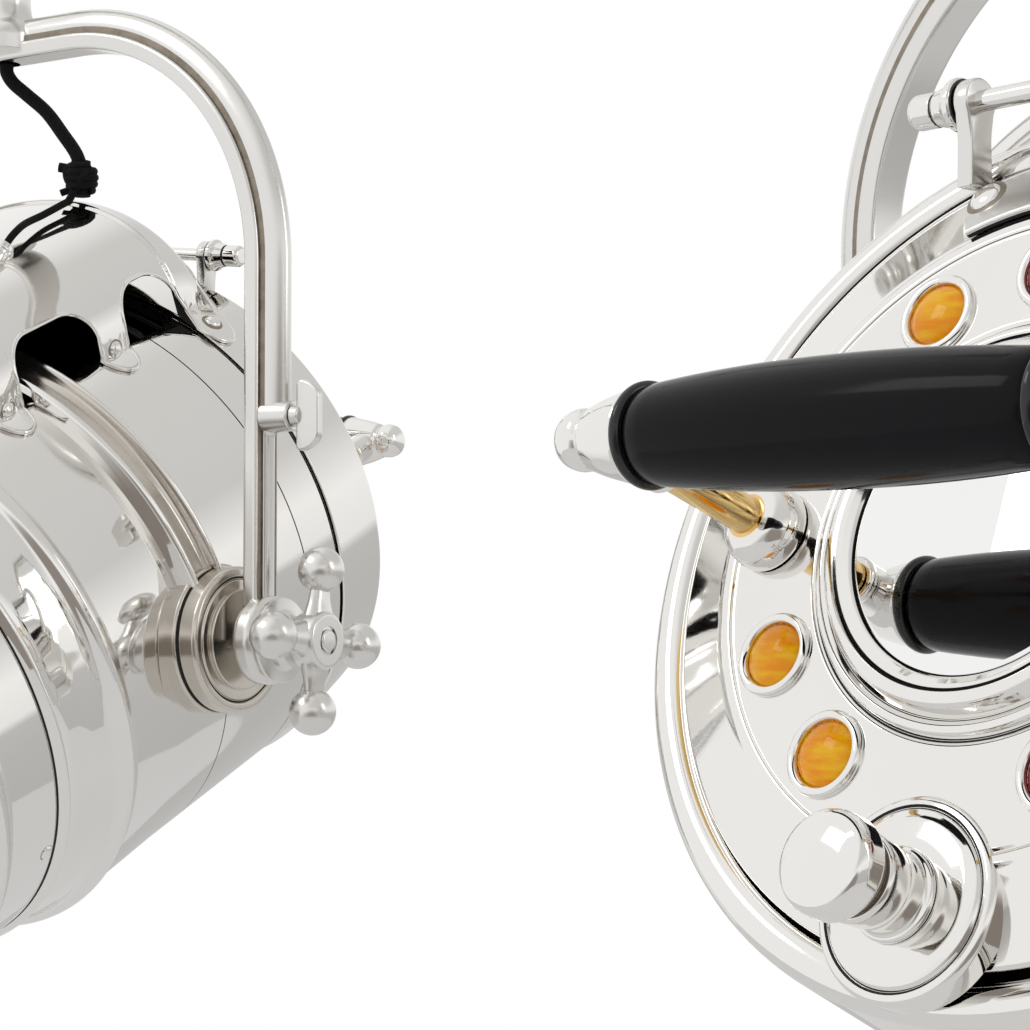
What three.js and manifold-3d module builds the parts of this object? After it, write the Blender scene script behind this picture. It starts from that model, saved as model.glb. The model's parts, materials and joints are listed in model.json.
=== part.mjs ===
import * as THREE from 'three';
import { mergeVertices } from 'three/addons/utils/BufferGeometryUtils.js';
import Module from 'manifold-3d';

const wasm = await Module();
wasm.setup();

// A chandelier with two searchlight heads in polished nickel. Each head hangs in a yoke that turns
// on a stem. Z is up and the origin is the centre of the ceiling plate's flat top. The cross arms
// run along X. A head is built in its drum frame: X across, Y towards the rear along the drum's
// axis, and the origin at the centre of the rear rim.

// Clearances
const fitGap = 0.3;
const runGap = 0.4;
const doorGap = 1.2;
const overrun = 5;

// Where the heads hang and how they are aimed at rest
const armReach = 366;
const panOfHead = { a: 9.7, b: 171.9 };
const tiltOfHead = { a: 24.5, b: 21.7 };

// Ceiling plate, canopy and down rod
const plateRadius = 75;
const plateThickness = 6;
const canopyRadius = 66;
const canopyHeight = 52;
const canopyLip = 10;
const canopyShoulderRadius = 46;
const canopyShoulderDrop = 34;
const canopyWall = 2;
const rodRadius = 11;
const rodDrop = 336;
const rodNutRadius = 20;
const rodNutHeight = 12;
const finialRadius = 13;

// Cross arms
const collarRadius = 26;
const collarHeight = 33;
const armRadius = 11;
const socketRadius = 18;
const socketHeight = 30;

// Swivel stem
const stemRadius = 8;
const stemCapRadius = 15;
const stemCapHeight = 9;
const stemShoulderRadius = 14;
const stemShoulderHeight = 12;
const spindleRadius = 5.5;
const stemNutRadius = 8;
const stemNutHeight = 5;

// Yoke
const yokeClearance = 7.5;
const yokeCrown = 320.5;
const yokeBend = 125;
const stripThickness = 9;
const stripWidth = 19;
const ribThickness = 14;
const ribWidth = 14;
const legRodThickness = 3;
const legRodWidth = 9;
const ribEnd = 104;
const ribTaper = 14;
const yokeBossRadius = 13;
const yokeBossHeight = 38;
const yokeFilletRadius = 21;
const yokeFilletHeight = 6;
const eyeRadius = 23;
const eyeThickness = 12;
const eyeOffset = 1;

// Wing screw on the leg
const wingHeight = 115;
const wingBossRadius = 8;
const wingBossStand = 3;
const wingShaftRadius = 4;
const wingShaftLength = 12;
const wingNeckRadius = 6;
const wingNeckLength = 5;
const wingReach = 18;
const wingRootHalf = 21;
const wingTipHalf = 13;
const wingThickness = 5;

// Rear ring
const rimRadius = 150;
const ringDepth = 50;
const ringFlare = 5;
const ringWall = 3;
const beadWidth = 14;
const beadRound = 4;
const seatWidth = 8;
const seatDrop = 14;
const seatThickness = 3;
const spigotLength = 10;
const spigotWall = 2.5;
const jointLine = 2.5;

// Drum
const drumRearStep = 3;
const drumTaper = 3;
const drumNoseTaper = 11;
const drumWall = 2.5;
const drumLength = 227.5;
const pivotBack = 167;
const pivotDrop = 14;
const bandBeadBack = 245;
const bandBeadHalf = 4;
const bandBeadRise = 3;
const noseLipWidth = 11;
const hoopHalf = 17;
const hoopRise = 11;
const hoopValleyRise = 5;
const hoopBeadHalf = 5;
const ventHalfAngle = 33.5;
const ventRear = 62;
const ventFront = 203;

// Front bezel and lens
const bezelLength = 53;
const bezelInset = 1;
const bezelBeadRise = 4;
const bezelBeadLength = 6;
const bezelWall = 3;
const bezelShoulderWidth = 10;
const bezelShoulderThickness = 2.5;
const lensInset = 7;
const lensSeat = 13;
const lensRimThickness = 3.5;
const lensThickness = 4;
const lensRise = 13;

// Reflector, lampholder and bulb
const reflectorInset = 17;
const reflectorDepth = 86;
const reflectorWall = 1.5;
const reflectorFlange = 11;
const reflectorPocket = 14;
const holderNeckGap = 1.2;
const reflectorFlangeThickness = 2;
const holderRadius = 19.5;
const holderFlangeRadius = 27;
const holderFlangeThickness = 4;
const holderLength = 48;
const holderReach = 12;
const bulbCapRadius = 13;
const bulbCapLength = 27;
const bulbRadius = 30;
const bulbLength = 68;

// Hood over the vent
const hoodRear = 18;
const hoodFront = 217;
const hoodLift = 50;
const hoodWall = 2;
const hoodSteps = 8;
const hoodHalfAngle = 39;
const hoodEndPower = 12;
const hoodSidePower = 1.2;
const hoodCut = 16;
const tabBacks = [38, 109, 197];
const tabHalf = 11;
const tabTipDrop = 31;
const archRise = 17;
const archRound = 14;
const glandRadius = 6;
const glandLength = 14;
const glandBack = 135;
const glandAngle = 13;
const glandLean = 60;

// Rear door
const doorEdgeThickness = 3;
const doorStepInset = 28.3;
const doorStepRise = 10;
const doorPlate = 3;
const hubInset = 41.8;
const hubRise = 6.5;
const hubLipRise = 8;
const hubLipWidth = 6.7;
const mirrorInset = 8;
const mirrorFloor = 1;
const latchInset = 17.8;
const latchPlateRadius = 31.5;
const latchPlateRise = 14;
const latchPlateLift = 1.5;

// Jewels in the door
const jewelInset = 19.5;
const jewelRadius = 9.8;
const jewelHeight = 3.5;
const jewelStripHalf = 4;
const jewelStripThickness = 2;
const jewelStripMargin = 8;
const amberAngles = [-60, -30, 30, 60];
const redAngles = [90, 120, 150, 210, 240];

// Handle on the door
const handleStand = 86;
const gripInset = 17;
const gripRadius = 19.3;
const gripEndRadius = 16;
const gripBore = 5;
const ferruleFlangeRadius = 17;
const ferruleFlangeLength = 4;
const ferruleRadius = 13.5;
const ferruleLength = 24;
const finialNeckRadius = 7;
const finialBallRadius = 9;
const finialReach = 24;
const postInset = 15.5;
const postRadius = 6.5;
const postSocketRadius = 8.5;
const postSocketReach = 24;
const footRadius = 15;
const footHeight = 5;
const footStepRadius = 11;
const footStepHeight = 5;

// Hinge on top of the door
const hingeTurnOfHead = { a: 6.5, b: 0 };
const hingeBehind = 17;
const hingeRise = 1;
const hingeRod = 3.8;
const hingeEyeRadius = 8;
const hingeEarThickness = 6;
const hingeSpan = 48;
const hingeBandInset = 4.5;
const hingeBandMargin = 1.8;
const hingeBandThickness = 3;
const hingeEarDepth = 11;
const hingeEarLean = 22;
const hingeEarLength = 30;
const hingeLugHalf = 9;
const hingeLugReach = 16;
const hingeLugSink = 4;
const hingeNutRadius = 9.2;
const hingeNutLength = 9.5;
const hingeTipRadius = 6.2;
const hingeTipLength = 12;
const hingeScrewRadius = 6;
const hingeScrewHeight = 3;
const hingeScrewAngle = 72;

// Latch knob
const latchNeckRadius = 12;
const latchNeckLength = 21;
const latchGrooveRadius = 8.5;
const latchGrooveLength = 3;
const latchTipRadius = 13.5;
const latchTipLength = 11;
const latchDome = 5;
const latchShaft = 5;
const tongueReach = 22;
const tongueHalf = 6;
const tongueThickness = 3;

// Pivot bosses and clamp knobs
const bossRadius = 43;
const bossFrontLength = 11;
const bossGroove = 1.2;
const bossFrontRadius = 40;
const bossStand = 18;
const washerRadius = 27;
const washerThickness = 2;
const studRadius = 5;
const studLength = 44;
const knobCollarRadius = 22;
const knobCollarLength = 4;
const knobHubRadius = 12;
const knobHubLength = 15;
const knobPlateRadius = 15;
const knobPlateThickness = 11;
const knobBars = 2;
const knobArm = 38;
const knobArmRadius = 5.5;
const knobBall = 12;
const knobTurn = 60;
const rivetRadius = 6;
const rivetRise = 1.5;

// Cord from the yoke's crown to the hood
const cordRadius = 3.8;
const leadRadius = 2;
const tiePlace = [37.2, 20.3, 255.4];
const tieRadius = 10;
const tieHalf = 10;
const tieNeck = 14;
const cordSteps = 10;
const leadSteps = 8;
const cordSides = 8;

// Counts of flat sides on round pieces
const bigSides = 20;
const midSides = 12;
const smallSides = 8;
const tinySides = 6;
const ballRings = 4;
const stripSides = 5;

// Colours
const nickel = { color: 0xd9d6d0, roughness: 0.12, metalness: 1 };
const brass = { color: 0xc9a15a, roughness: 0.2, metalness: 1 };
const blackGloss = { color: 0x0b0b0c, roughness: 0.18, metalness: 0 };
const blackCord = { color: 0x0a0a0a, roughness: 0.7, metalness: 0 };
const ceramicWhite = { color: 0xe8e4da, roughness: 0.35, metalness: 0 };
const glass = { color: 0xf2f6f6, roughness: 0.05, metalness: 0, transparent: true, opacity: 0.35 };
const amberGlass = { color: 0xe08a12, roughness: 0.1, metalness: 0 };
const redGlass = { color: 0x6e1410, roughness: 0.1, metalness: 0 };

// Shared helpers

const quarterTurn = Math.PI / 2;
const radians = THREE.MathUtils.degToRad;

// Welds a geometry's shared vertices, drops empty triangles and points its faces outwards.
function weld(geometry) {
  const plain = geometry.clone();
  plain.deleteAttribute('normal');
  plain.deleteAttribute('uv');
  const merged = mergeVertices(plain);
  const corner = merged.index.array;
  const kept = [];
  for (let i = 0; i < corner.length; i += 3) {
    const [a, b, c] = [corner[i], corner[i + 1], corner[i + 2]];
    if (a !== b && b !== c && c !== a) {
      kept.push(a, b, c);
    }
  }
  merged.setIndex(kept);
  if (volumeOf(merged) < 0) {
    for (let i = 0; i < kept.length; i += 3) {
      [kept[i + 1], kept[i + 2]] = [kept[i + 2], kept[i + 1]];
    }
    merged.setIndex(kept);
  }
  return merged;
}

function volumeOf(geometry) {
  const place = geometry.attributes.position;
  const corner = geometry.index.array;
  const [a, b, c] = [new THREE.Vector3(), new THREE.Vector3(), new THREE.Vector3()];
  let sum = 0;
  for (let i = 0; i < corner.length; i += 3) {
    a.fromBufferAttribute(place, corner[i]);
    b.fromBufferAttribute(place, corner[i + 1]);
    c.fromBufferAttribute(place, corner[i + 2]);
    sum += a.dot(b.cross(c));
  }
  return sum / 6;
}

function toSolid(geometry) {
  const welded = weld(geometry);
  const vertProperties = Float32Array.from(welded.attributes.position.array);
  const triVerts = Uint32Array.from(welded.index.array);
  return new wasm.Manifold(new wasm.Mesh({ numProp: 3, vertProperties, triVerts }));
}

function toGeometry(solid) {
  const mesh = solid.getMesh();
  const geometry = new THREE.BufferGeometry();
  const places = new Float32Array(mesh.vertProperties);
  geometry.setAttribute('position', new THREE.BufferAttribute(places, mesh.numProp));
  geometry.setIndex(Array.from(mesh.triVerts));
  return geometry;
}

function join(...pieces) {
  return toGeometry(pieces.map(toSolid).reduce((sum, next) => sum.add(next)));
}

function cut(piece, ...tools) {
  return toGeometry(tools.map(toSolid).reduce((left, tool) => left.subtract(tool), toSolid(piece)));
}

function common(piece, other) {
  return toGeometry(toSolid(piece).intersect(toSolid(other)));
}

// A solid of revolution about Y from [radius, along] pairs. A profile that doesn't run from the
// axis to the axis closes on itself.
function turned(profile, sides) {
  const onAxis = profile[0][0] === 0 && profile.at(-1)[0] === 0;
  const outline = onAxis ? profile : [...profile, profile[0]];
  const points = outline.map(([radius, along]) => new THREE.Vector2(radius, along));
  return weld(new THREE.LatheGeometry(points, sides));
}

const alongX = (geometry) => geometry.rotateZ(-quarterTurn);
const alongZ = (geometry) => geometry.rotateX(quarterTurn);

// A rod between two places on its own axis, before it is turned along X or Z.
function rod(radius, from, to, sides) {
  const length = Math.abs(to - from);
  return new THREE.CylinderGeometry(radius, radius, length, sides).translate(0, (from + to) / 2, 0);
}

// A rod whose flats clear a round piece of a radius however that piece is turned.
function bore(radius, from, to, sides) {
  return rod(radius / Math.cos(Math.PI / sides), from, to, sides);
}

// A box from its lowest to its highest corner.
function block(low, high) {
  const size = high.map((value, i) => value - low[i]);
  const middle = high.map((value, i) => (value + low[i]) / 2);
  return new THREE.BoxGeometry(...size).translate(...middle);
}

// Moves each point of a geometry by a function of its place.
function reshaped(geometry, place) {
  const plain = geometry.clone();
  const points = plain.attributes.position;
  for (let i = 0; i < points.count; i += 1) {
    points.setXYZ(i, ...place(points.getX(i), points.getY(i), points.getZ(i)));
  }
  return weld(plain);
}

// A plate in the Y-Z plane, extruded across X and centred on it.
function plateAcross(outline, halfWidth) {
  const options = { depth: 2 * halfWidth, bevelEnabled: false };
  const flat = new THREE.ExtrudeGeometry(outline, options).translate(0, 0, -halfWidth);
  return reshaped(flat, (y, z, x) => [x, y, z]);
}

function mesh(name, geometry, finish) {
  const piece = new THREE.Mesh(geometry, new THREE.MeshStandardMaterial(finish));
  piece.name = name;
  return piece;
}

// Radii and half widths that follow the rear ring's
const drumRearRadius = rimRadius + drumRearStep;
const drumRadius = drumRearRadius - drumTaper;
const drumNoseRadius = drumRadius - drumNoseTaper;
const bezelRadius = drumNoseRadius - bezelInset;
const lensRadius = bezelRadius - lensInset;
const lensOpening = lensRadius - lensSeat;
const reflectorRim = drumNoseRadius - reflectorInset;
const doorRadius = rimRadius - beadWidth - doorGap;
const seatInner = rimRadius - beadWidth - seatWidth;
const doorStepRadius = doorRadius - doorStepInset;
const hubBeadRadius = doorStepRadius - hubInset;
const hubLipRadius = hubBeadRadius - hubLipWidth;
const mirrorRadius = hubLipRadius - mirrorInset;
const jewelCircle = doorStepRadius - jewelInset;
const latchDrop = doorRadius - latchInset;
const postSpan = doorStepRadius - postInset;
const gripHalf = postSpan - gripInset;
const handleHalf = postSpan + finialReach;
const hingeHeight = rimRadius + hingeRise;
const hingeBandInner = doorStepRadius + hingeBandInset;
const hingeBandOuter = doorRadius - hingeBandMargin;
const tabTipHeight = drumRadius - tabTipDrop;
const archTop = drumRadius + archRise;
const bossFace = drumRadius + bossStand;
const studReach = bossFace + studLength;
const yokeInnerHalf = bossFace + yokeClearance;

// Heights on the yoke, counted from the tilt pivot
const crownTop = yokeCrown + stripThickness + ribThickness;
const yokeBossTop = crownTop + yokeBossHeight;
const shoulderTop = yokeBossTop + fitGap + stemShoulderHeight;
const armAbovePivot = shoulderTop + fitGap + socketHeight / 2;
const upperArmZ = -rodDrop;
const lowerArmZ = upperArmZ - collarHeight - fitGap;

// Places along the drum's axis
const drumRear = -ringDepth - jointLine;
const drumNose = drumRear - drumLength;
const flangeFront = drumNose - fitGap - reflectorFlangeThickness;
const bezelRear = drumNose - fitGap;
const bezelFront = bezelRear - bezelLength;
const hoodCentre = -(hoodRear + hoodFront) / 2;
const hoodHalfLength = (hoodFront - hoodRear) / 2;
const zoneTop = doorStepRise;
const hubTop = zoneTop + hubRise;

// The canopy: a bell that hides the plate's screws and slides on the rod.
function canopy() {
  const top = -plateThickness - fitGap;
  const neck = rodRadius + runGap;
  const bottom = top - canopyHeight;
  const inside = canopyRadius - canopyWall;
  const outline = [
    [canopyRadius, top],
    [canopyRadius, top - canopyLip],
    [canopyShoulderRadius, top - canopyShoulderDrop],
    [neck + canopyWall, bottom],
    [neck, bottom],
    [neck, bottom + canopyWall],
    [canopyShoulderRadius - canopyWall, top - canopyShoulderDrop + canopyWall],
    [inside, top - canopyLip + canopyWall],
    [inside, top],
  ];
  return alongZ(turned(outline, bigSides));
}

// The down rod with its ceiling plate, its shoulder over the collars, and its nut and finial.
function downRod() {
  const over = upperArmZ + collarHeight / 2 + fitGap;
  const under = lowerArmZ - collarHeight / 2 - fitGap;
  const nutBottom = under - rodNutHeight;
  const outline = [
    [0, 0],
    [plateRadius, 0],
    [plateRadius, -plateThickness],
    [rodRadius, -plateThickness],
    [rodRadius, over + rodNutHeight],
    [rodNutRadius, over + rodNutHeight],
    [rodNutRadius, over],
    [rodRadius, over],
    [rodRadius, under],
    [rodNutRadius, under],
    [rodNutRadius, nutBottom],
    [finialRadius, nutBottom - rodNutHeight / 3],
    [finialRadius, nutBottom - rodNutHeight],
    [finialRadius / 2, nutBottom - rodNutHeight - finialRadius / 2],
    [0, nutBottom - rodNutHeight - finialRadius / 2],
  ];
  return alongZ(turned(outline, midSides));
}

// One cross arm: a collar round the rod, a tube and a socket at its end for the stem.
function crossArm(side, height) {
  const half = collarHeight / 2;
  const collar = alongZ(rod(collarRadius, -half, half, midSides));
  const tube = alongX(rod(armRadius, 0, side * armReach, midSides));
  const socket = alongZ(rod(socketRadius, -socketHeight / 2, socketHeight / 2, midSides));
  const rodHole = alongZ(rod(rodRadius + fitGap, -half - overrun, half + overrun, midSides));
  const stemHole = alongZ(bore(stemRadius + fitGap, -half - overrun, half + overrun, smallSides));
  const body = join(collar, tube, socket.translate(side * armReach, 0, 0));
  return cut(body, rodHole, stemHole.translate(side * armReach, 0, 0)).translate(0, 0, height);
}

// The swivel stem. Its cap sits on the arm's socket and its sunk nut holds up the yoke's crown.
function stem() {
  const socketLow = shoulderTop + fitGap;
  const socketTop = socketLow + socketHeight;
  const nutTop = yokeCrown + stemNutHeight;
  const outline = [
    [0, yokeCrown],
    [stemNutRadius, yokeCrown],
    [stemNutRadius, nutTop],
    [spindleRadius, nutTop],
    [spindleRadius, yokeBossTop + fitGap],
    [stemShoulderRadius, yokeBossTop + fitGap],
    [stemShoulderRadius, shoulderTop],
    [stemRadius, shoulderTop],
    [stemRadius, socketTop + fitGap],
    [stemCapRadius, socketTop + fitGap],
    [stemCapRadius, socketTop + fitGap + stemCapHeight / 2],
    [stemCapRadius / 2, socketTop + fitGap + stemCapHeight],
    [0, socketTop + fitGap + stemCapHeight],
  ];
  return alongZ(turned(outline, smallSides));
}

// Stations round the yoke from one foot over the crown to the other, at a distance outside the
// bar's inner face. Each has its place and its outward direction in the X-Z plane.
function yokeStations(outside, footHeight, extraHeights = []) {
  const bendSteps = 5;
  const straight = yokeInnerHalf - yokeBend;
  const centreHeight = yokeCrown - yokeBend;
  const right = [footHeight, ...extraHeights, centreHeight].map((height) => ({
    x: yokeInnerHalf + outside,
    z: height,
    out: [1, 0],
  }));
  for (let i = 1; i <= bendSteps; i += 1) {
    const angle = (i / bendSteps) * quarterTurn;
    const out = [Math.cos(angle), Math.sin(angle)];
    const radius = yokeBend + outside;
    right.push({ x: straight + radius * out[0], z: centreHeight + radius * out[1], out });
  }
  const left = right.map(({ x, z, out }) => ({ x: -x, z, out: [-out[0], out[1]] }));
  return [...right, ...left.reverse()];
}

// Lays a unit bar, one long in Y and one across in X and Z, along a list of stations.
function alongStations(bar, stations, thicknessAt, widthAt) {
  return reshaped(bar, (a, along, b) => {
    const index = Math.round((along + 0.5) * (stations.length - 1));
    const { x, z, out } = stations[index];
    const offset = a * thicknessAt(z, x);
    return [x + out[0] * offset, b * widthAt(z, x), z + out[1] * offset];
  });
}

function yoke() {
  const stripPath = yokeStations(stripThickness / 2, 0);
  const stripBar = new THREE.BoxGeometry(1, 1, 1, 1, stripPath.length - 1, 1);
  const strip = alongStations(stripBar, stripPath, () => stripThickness, () => stripWidth);

  // The outer rib is sunk into the strip by half its thickness, so that its upper half shows as
  // a rounded back, and it thins to a rod below the wing screw.
  const steps = [ribEnd, ribEnd + ribTaper];
  const ribPath = yokeStations(stripThickness, 0, steps);
  const ribBar = new THREE.CylinderGeometry(0.5, 0.5, 1, smallSides, ribPath.length - 1);
  const thick = (z) => (z > ribEnd ? 2 * ribThickness : 2 * legRodThickness);
  const wide = (z) => (z > ribEnd ? ribWidth : legRodWidth);
  const rib = alongStations(ribBar, ribPath, thick, wide);

  const inside = yokeInnerHalf - overrun;
  const bossBottom = yokeCrown + stripThickness;
  const boss = alongZ(
    turned(
      [
        [0, bossBottom],
        [yokeFilletRadius, bossBottom],
        [yokeFilletRadius, crownTop - yokeFilletHeight],
        [yokeBossRadius, crownTop + yokeFilletHeight],
        [yokeBossRadius, yokeBossTop],
        [0, yokeBossTop],
      ],
      midSides,
    ),
  );
  const eyes = [1, -1].map((side) => {
    const middle = eyeMiddle();
    const low = middle - eyeThickness / 2;
    const high = middle + eyeThickness / 2;
    return alongX(rod(eyeRadius, side * low, side * high, midSides));
  });
  const wingBoss = alongX(
    rod(wingBossRadius, yokeInnerHalf + stripThickness, wingBossFace(), smallSides),
  ).translate(0, 0, wingHeight);
  const spindleHole = alongZ(
    bore(spindleRadius + runGap, yokeCrown - overrun, yokeBossTop + overrun, smallSides),
  );
  const nutTop = yokeCrown + stemNutHeight + fitGap;
  const nutHole = alongZ(bore(stemNutRadius + runGap, yokeCrown - overrun, nutTop, smallSides));
  const wingHole = alongX(
    bore(wingShaftRadius + runGap, wingFace() - wingShaftLength - runGap, wingFace(), tinySides),
  ).translate(0, 0, wingHeight);
  const footHoles = [1, -1].map((side) => {
    return alongX(bore(studRadius + runGap, side * inside, side * (studReach + overrun), smallSides));
  });
  const innerSpace = yokeInnerSpace();
  const ribbed = cut(rib, innerSpace);
  const bar = join(strip, ribbed, boss, ...eyes, wingBoss);
  return cut(bar, spindleHole, nutHole, wingHole, ...footHoles);
}

const eyeMiddle = () => yokeInnerHalf + stripThickness + eyeOffset;
const wingBossFace = () => yokeInnerHalf + stripThickness + ribThickness + wingBossStand;
const wingFace = () => wingBossFace() + fitGap;

// The space that the bar's inner face goes round, as a solid.
function yokeInnerSpace() {
  const outline = new THREE.Shape();
  const edge = yokeStations(stripThickness / 2, -eyeRadius);
  edge.forEach(({ x, z }, i) => (i === 0 ? outline.moveTo(x, z) : outline.lineTo(x, z)));
  const options = { depth: 2 * stripWidth, bevelEnabled: false };
  const flat = new THREE.ExtrudeGeometry(outline, options).translate(0, 0, -stripWidth);
  return reshaped(flat, (x, z, y) => [x, y, z]);
}

// The wing screw: a threaded shaft, a neck and a flat spade to turn it by.
function wingScrew() {
  const face = wingFace();
  const shaft = alongX(
    turned(
      [
        [0, face - wingShaftLength],
        [wingShaftRadius, face - wingShaftLength],
        [wingShaftRadius, face],
        [wingNeckRadius, face],
        [wingNeckRadius, face + wingNeckLength],
        [0, face + wingNeckLength],
      ],
      tinySides,
    ),
  );
  const outline = new THREE.Shape();
  const root = face + wingNeckLength / 2;
  const tip = root + wingReach;
  const shoulder = root + wingReach / 4;
  outline.moveTo(root, -wingRootHalf);
  outline.lineTo(shoulder, -wingRootHalf);
  outline.lineTo(tip, -wingTipHalf);
  outline.lineTo(tip, wingTipHalf);
  outline.lineTo(shoulder, wingRootHalf);
  outline.lineTo(root, wingRootHalf);
  const options = { depth: wingThickness, bevelEnabled: false };
  const flat = new THREE.ExtrudeGeometry(outline, options).translate(0, 0, -wingThickness / 2);
  const spade = reshaped(flat, (x, z, y) => [x, y, z]);
  return join(shaft, spade).translate(0, 0, wingHeight);
}

// A clamp knob on one end of the pivot: collar, hub and four arms with balls.
function clampKnob(side) {
  const face = eyeMiddle() + eyeThickness / 2 + fitGap;
  const hubEnd = face + knobCollarLength + knobHubLength;
  const plateEnd = hubEnd + knobPlateThickness;
  const middle = (hubEnd + plateEnd) / 2;
  const body = turned(
    [
      [0, face],
      [knobCollarRadius, face],
      [knobCollarRadius, face + knobCollarLength],
      [knobHubRadius, face + knobCollarLength],
      [knobHubRadius, hubEnd],
      [knobPlateRadius, hubEnd],
      [knobPlateRadius, plateEnd],
      [rivetRadius, plateEnd],
      [rivetRadius, plateEnd + rivetRise],
      [0, plateEnd + rivetRise],
    ],
    smallSides,
  );
  const pieces = [alongX(body)];
  for (let i = 0; i < knobBars; i += 1) {
    const bar = rod(knobArmRadius, -knobArm, knobArm, tinySides);
    const balls = [1, -1].map((end) => {
      return new THREE.SphereGeometry(knobBall, tinySides, ballRings).translate(0, end * knobArm, 0);
    });
    const spokes = join(bar, ...balls).translate(middle, 0, 0);
    pieces.push(spokes.rotateX(radians(knobTurn) + i * quarterTurn));
  }
  const hole = alongX(bore(studRadius + runGap, face - overrun, studReach + 2 * fitGap, smallSides));
  const knob = cut(join(...pieces), hole);
  return side > 0 ? knob : knob.rotateZ(Math.PI);
}

// The stacked boss on one side of the drum, with its washer and stud.
function pivotBoss(side) {
  const start = drumRadius - drumWall - overrun;
  const back = bossFace - bossFrontLength;
  const outline = [
    [0, start],
    [bossRadius, start],
    [bossRadius, back - bossGroove],
    [bossFrontRadius - bossGroove, back - bossGroove],
    [bossFrontRadius - bossGroove, back],
    [bossFrontRadius, back],
    [bossFrontRadius, bossFace],
    [washerRadius, bossFace],
    [washerRadius, bossFace + washerThickness],
    [studRadius, bossFace + washerThickness],
    [studRadius, studReach],
    [0, studReach],
  ];
  const right = alongX(turned(outline, midSides));
  const boss = side > 0 ? right : right.rotateZ(Math.PI);
  return cut(boss.translate(0, -pivotBack, -pivotDrop), drumEnvelope(fitGap));
}

// The drum's and ring's plain outer form, let out by a gap, as a full solid.
function drumEnvelope(gap) {
  const outline = outerRadii().map(([radius, along]) => [radius + gap, along]);
  const [rear, nose] = [outline[0][1], outline.at(-1)[1]];
  return turned([[0, rear], ...outline, [0, nose]], bigSides);
}

// The outer radius from the rear rim to the drum's nose.
function outerRadii() {
  return [
    [rimRadius - beadRound, 0],
    [rimRadius, -beadRound],
    [rimRadius + ringFlare, -ringDepth],
    [drumRearRadius, drumRear],
    [drumRadius, -pivotBack - hoopHalf],
    [drumRadius, -bandBeadBack + bandBeadHalf],
    [drumNoseRadius, drumNose],
  ];
}

// The radius of that form at a place along the axis.
function outerRadiusAt(along) {
  const list = outerRadii();
  for (let i = 1; i < list.length; i += 1) {
    const [[radiusA, a], [radiusB, b]] = [list[i - 1], list[i]];
    if (along >= b) {
      const share = (a - along) / (a - b);
      return radiusA + (radiusB - radiusA) * share;
    }
  }
  return drumNoseRadius;
}

// A wedge about the top of the drum, between two angles from the vertical.
function wedge(halfAngle, rear, front, inner, outer, steps) {
  const bar = new THREE.BoxGeometry(1, 1, 1, steps, 1, 1);
  return reshaped(bar, (across, along, up) => {
    const angle = radians(2 * across * halfAngle);
    const radius = inner + (up + 0.5) * (outer - inner);
    const y = rear + (0.5 - along) * (front - rear);
    return [radius * Math.sin(angle), y, radius * Math.cos(angle)];
  });
}

// Puts a piece that is built about the hinge's line in its place over the door, turned about the
// drum's axis.
function atHinge(piece, turn) {
  return piece.translate(0, hingeBehind, hingeHeight).rotateY(radians(turn));
}

function rearRing(turn) {
  const spigotOuter = drumRearRadius - drumWall - fitGap;
  const spigotInner = spigotOuter - spigotWall;
  const spigotEnd = drumRear - spigotLength;
  const inside = rimRadius - beadWidth;
  const ring = turned(
    [
      [rimRadius + ringFlare, -ringDepth],
      [rimRadius, -beadRound],
      [rimRadius - beadRound, 0],
      [inside + beadRound, 0],
      [inside, -beadRound],
      [inside, -seatDrop],
      [seatInner, -seatDrop],
      [seatInner, -seatDrop - seatThickness],
      [rimRadius - ringWall, -seatDrop - seatThickness],
      [spigotInner, spigotEnd],
      [spigotOuter, spigotEnd],
      [spigotOuter, -ringDepth],
    ],
    bigSides,
  );
  const eye = alongX(rod(hingeEyeRadius, -hingeLugHalf, hingeLugHalf, smallSides));
  const root = block(
    [-hingeLugHalf, -hingeLugReach - hingeBehind, -hingeRise - hingeLugSink],
    [hingeLugHalf, 0, hingeLugSink / 2],
  );
  const hole = alongX(bore(hingeRod + fitGap, -hingeSpan, hingeSpan, tinySides));
  return cut(join(ring, atHinge(eye, turn), atHinge(root, turn)), atHinge(hole, turn));
}

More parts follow.
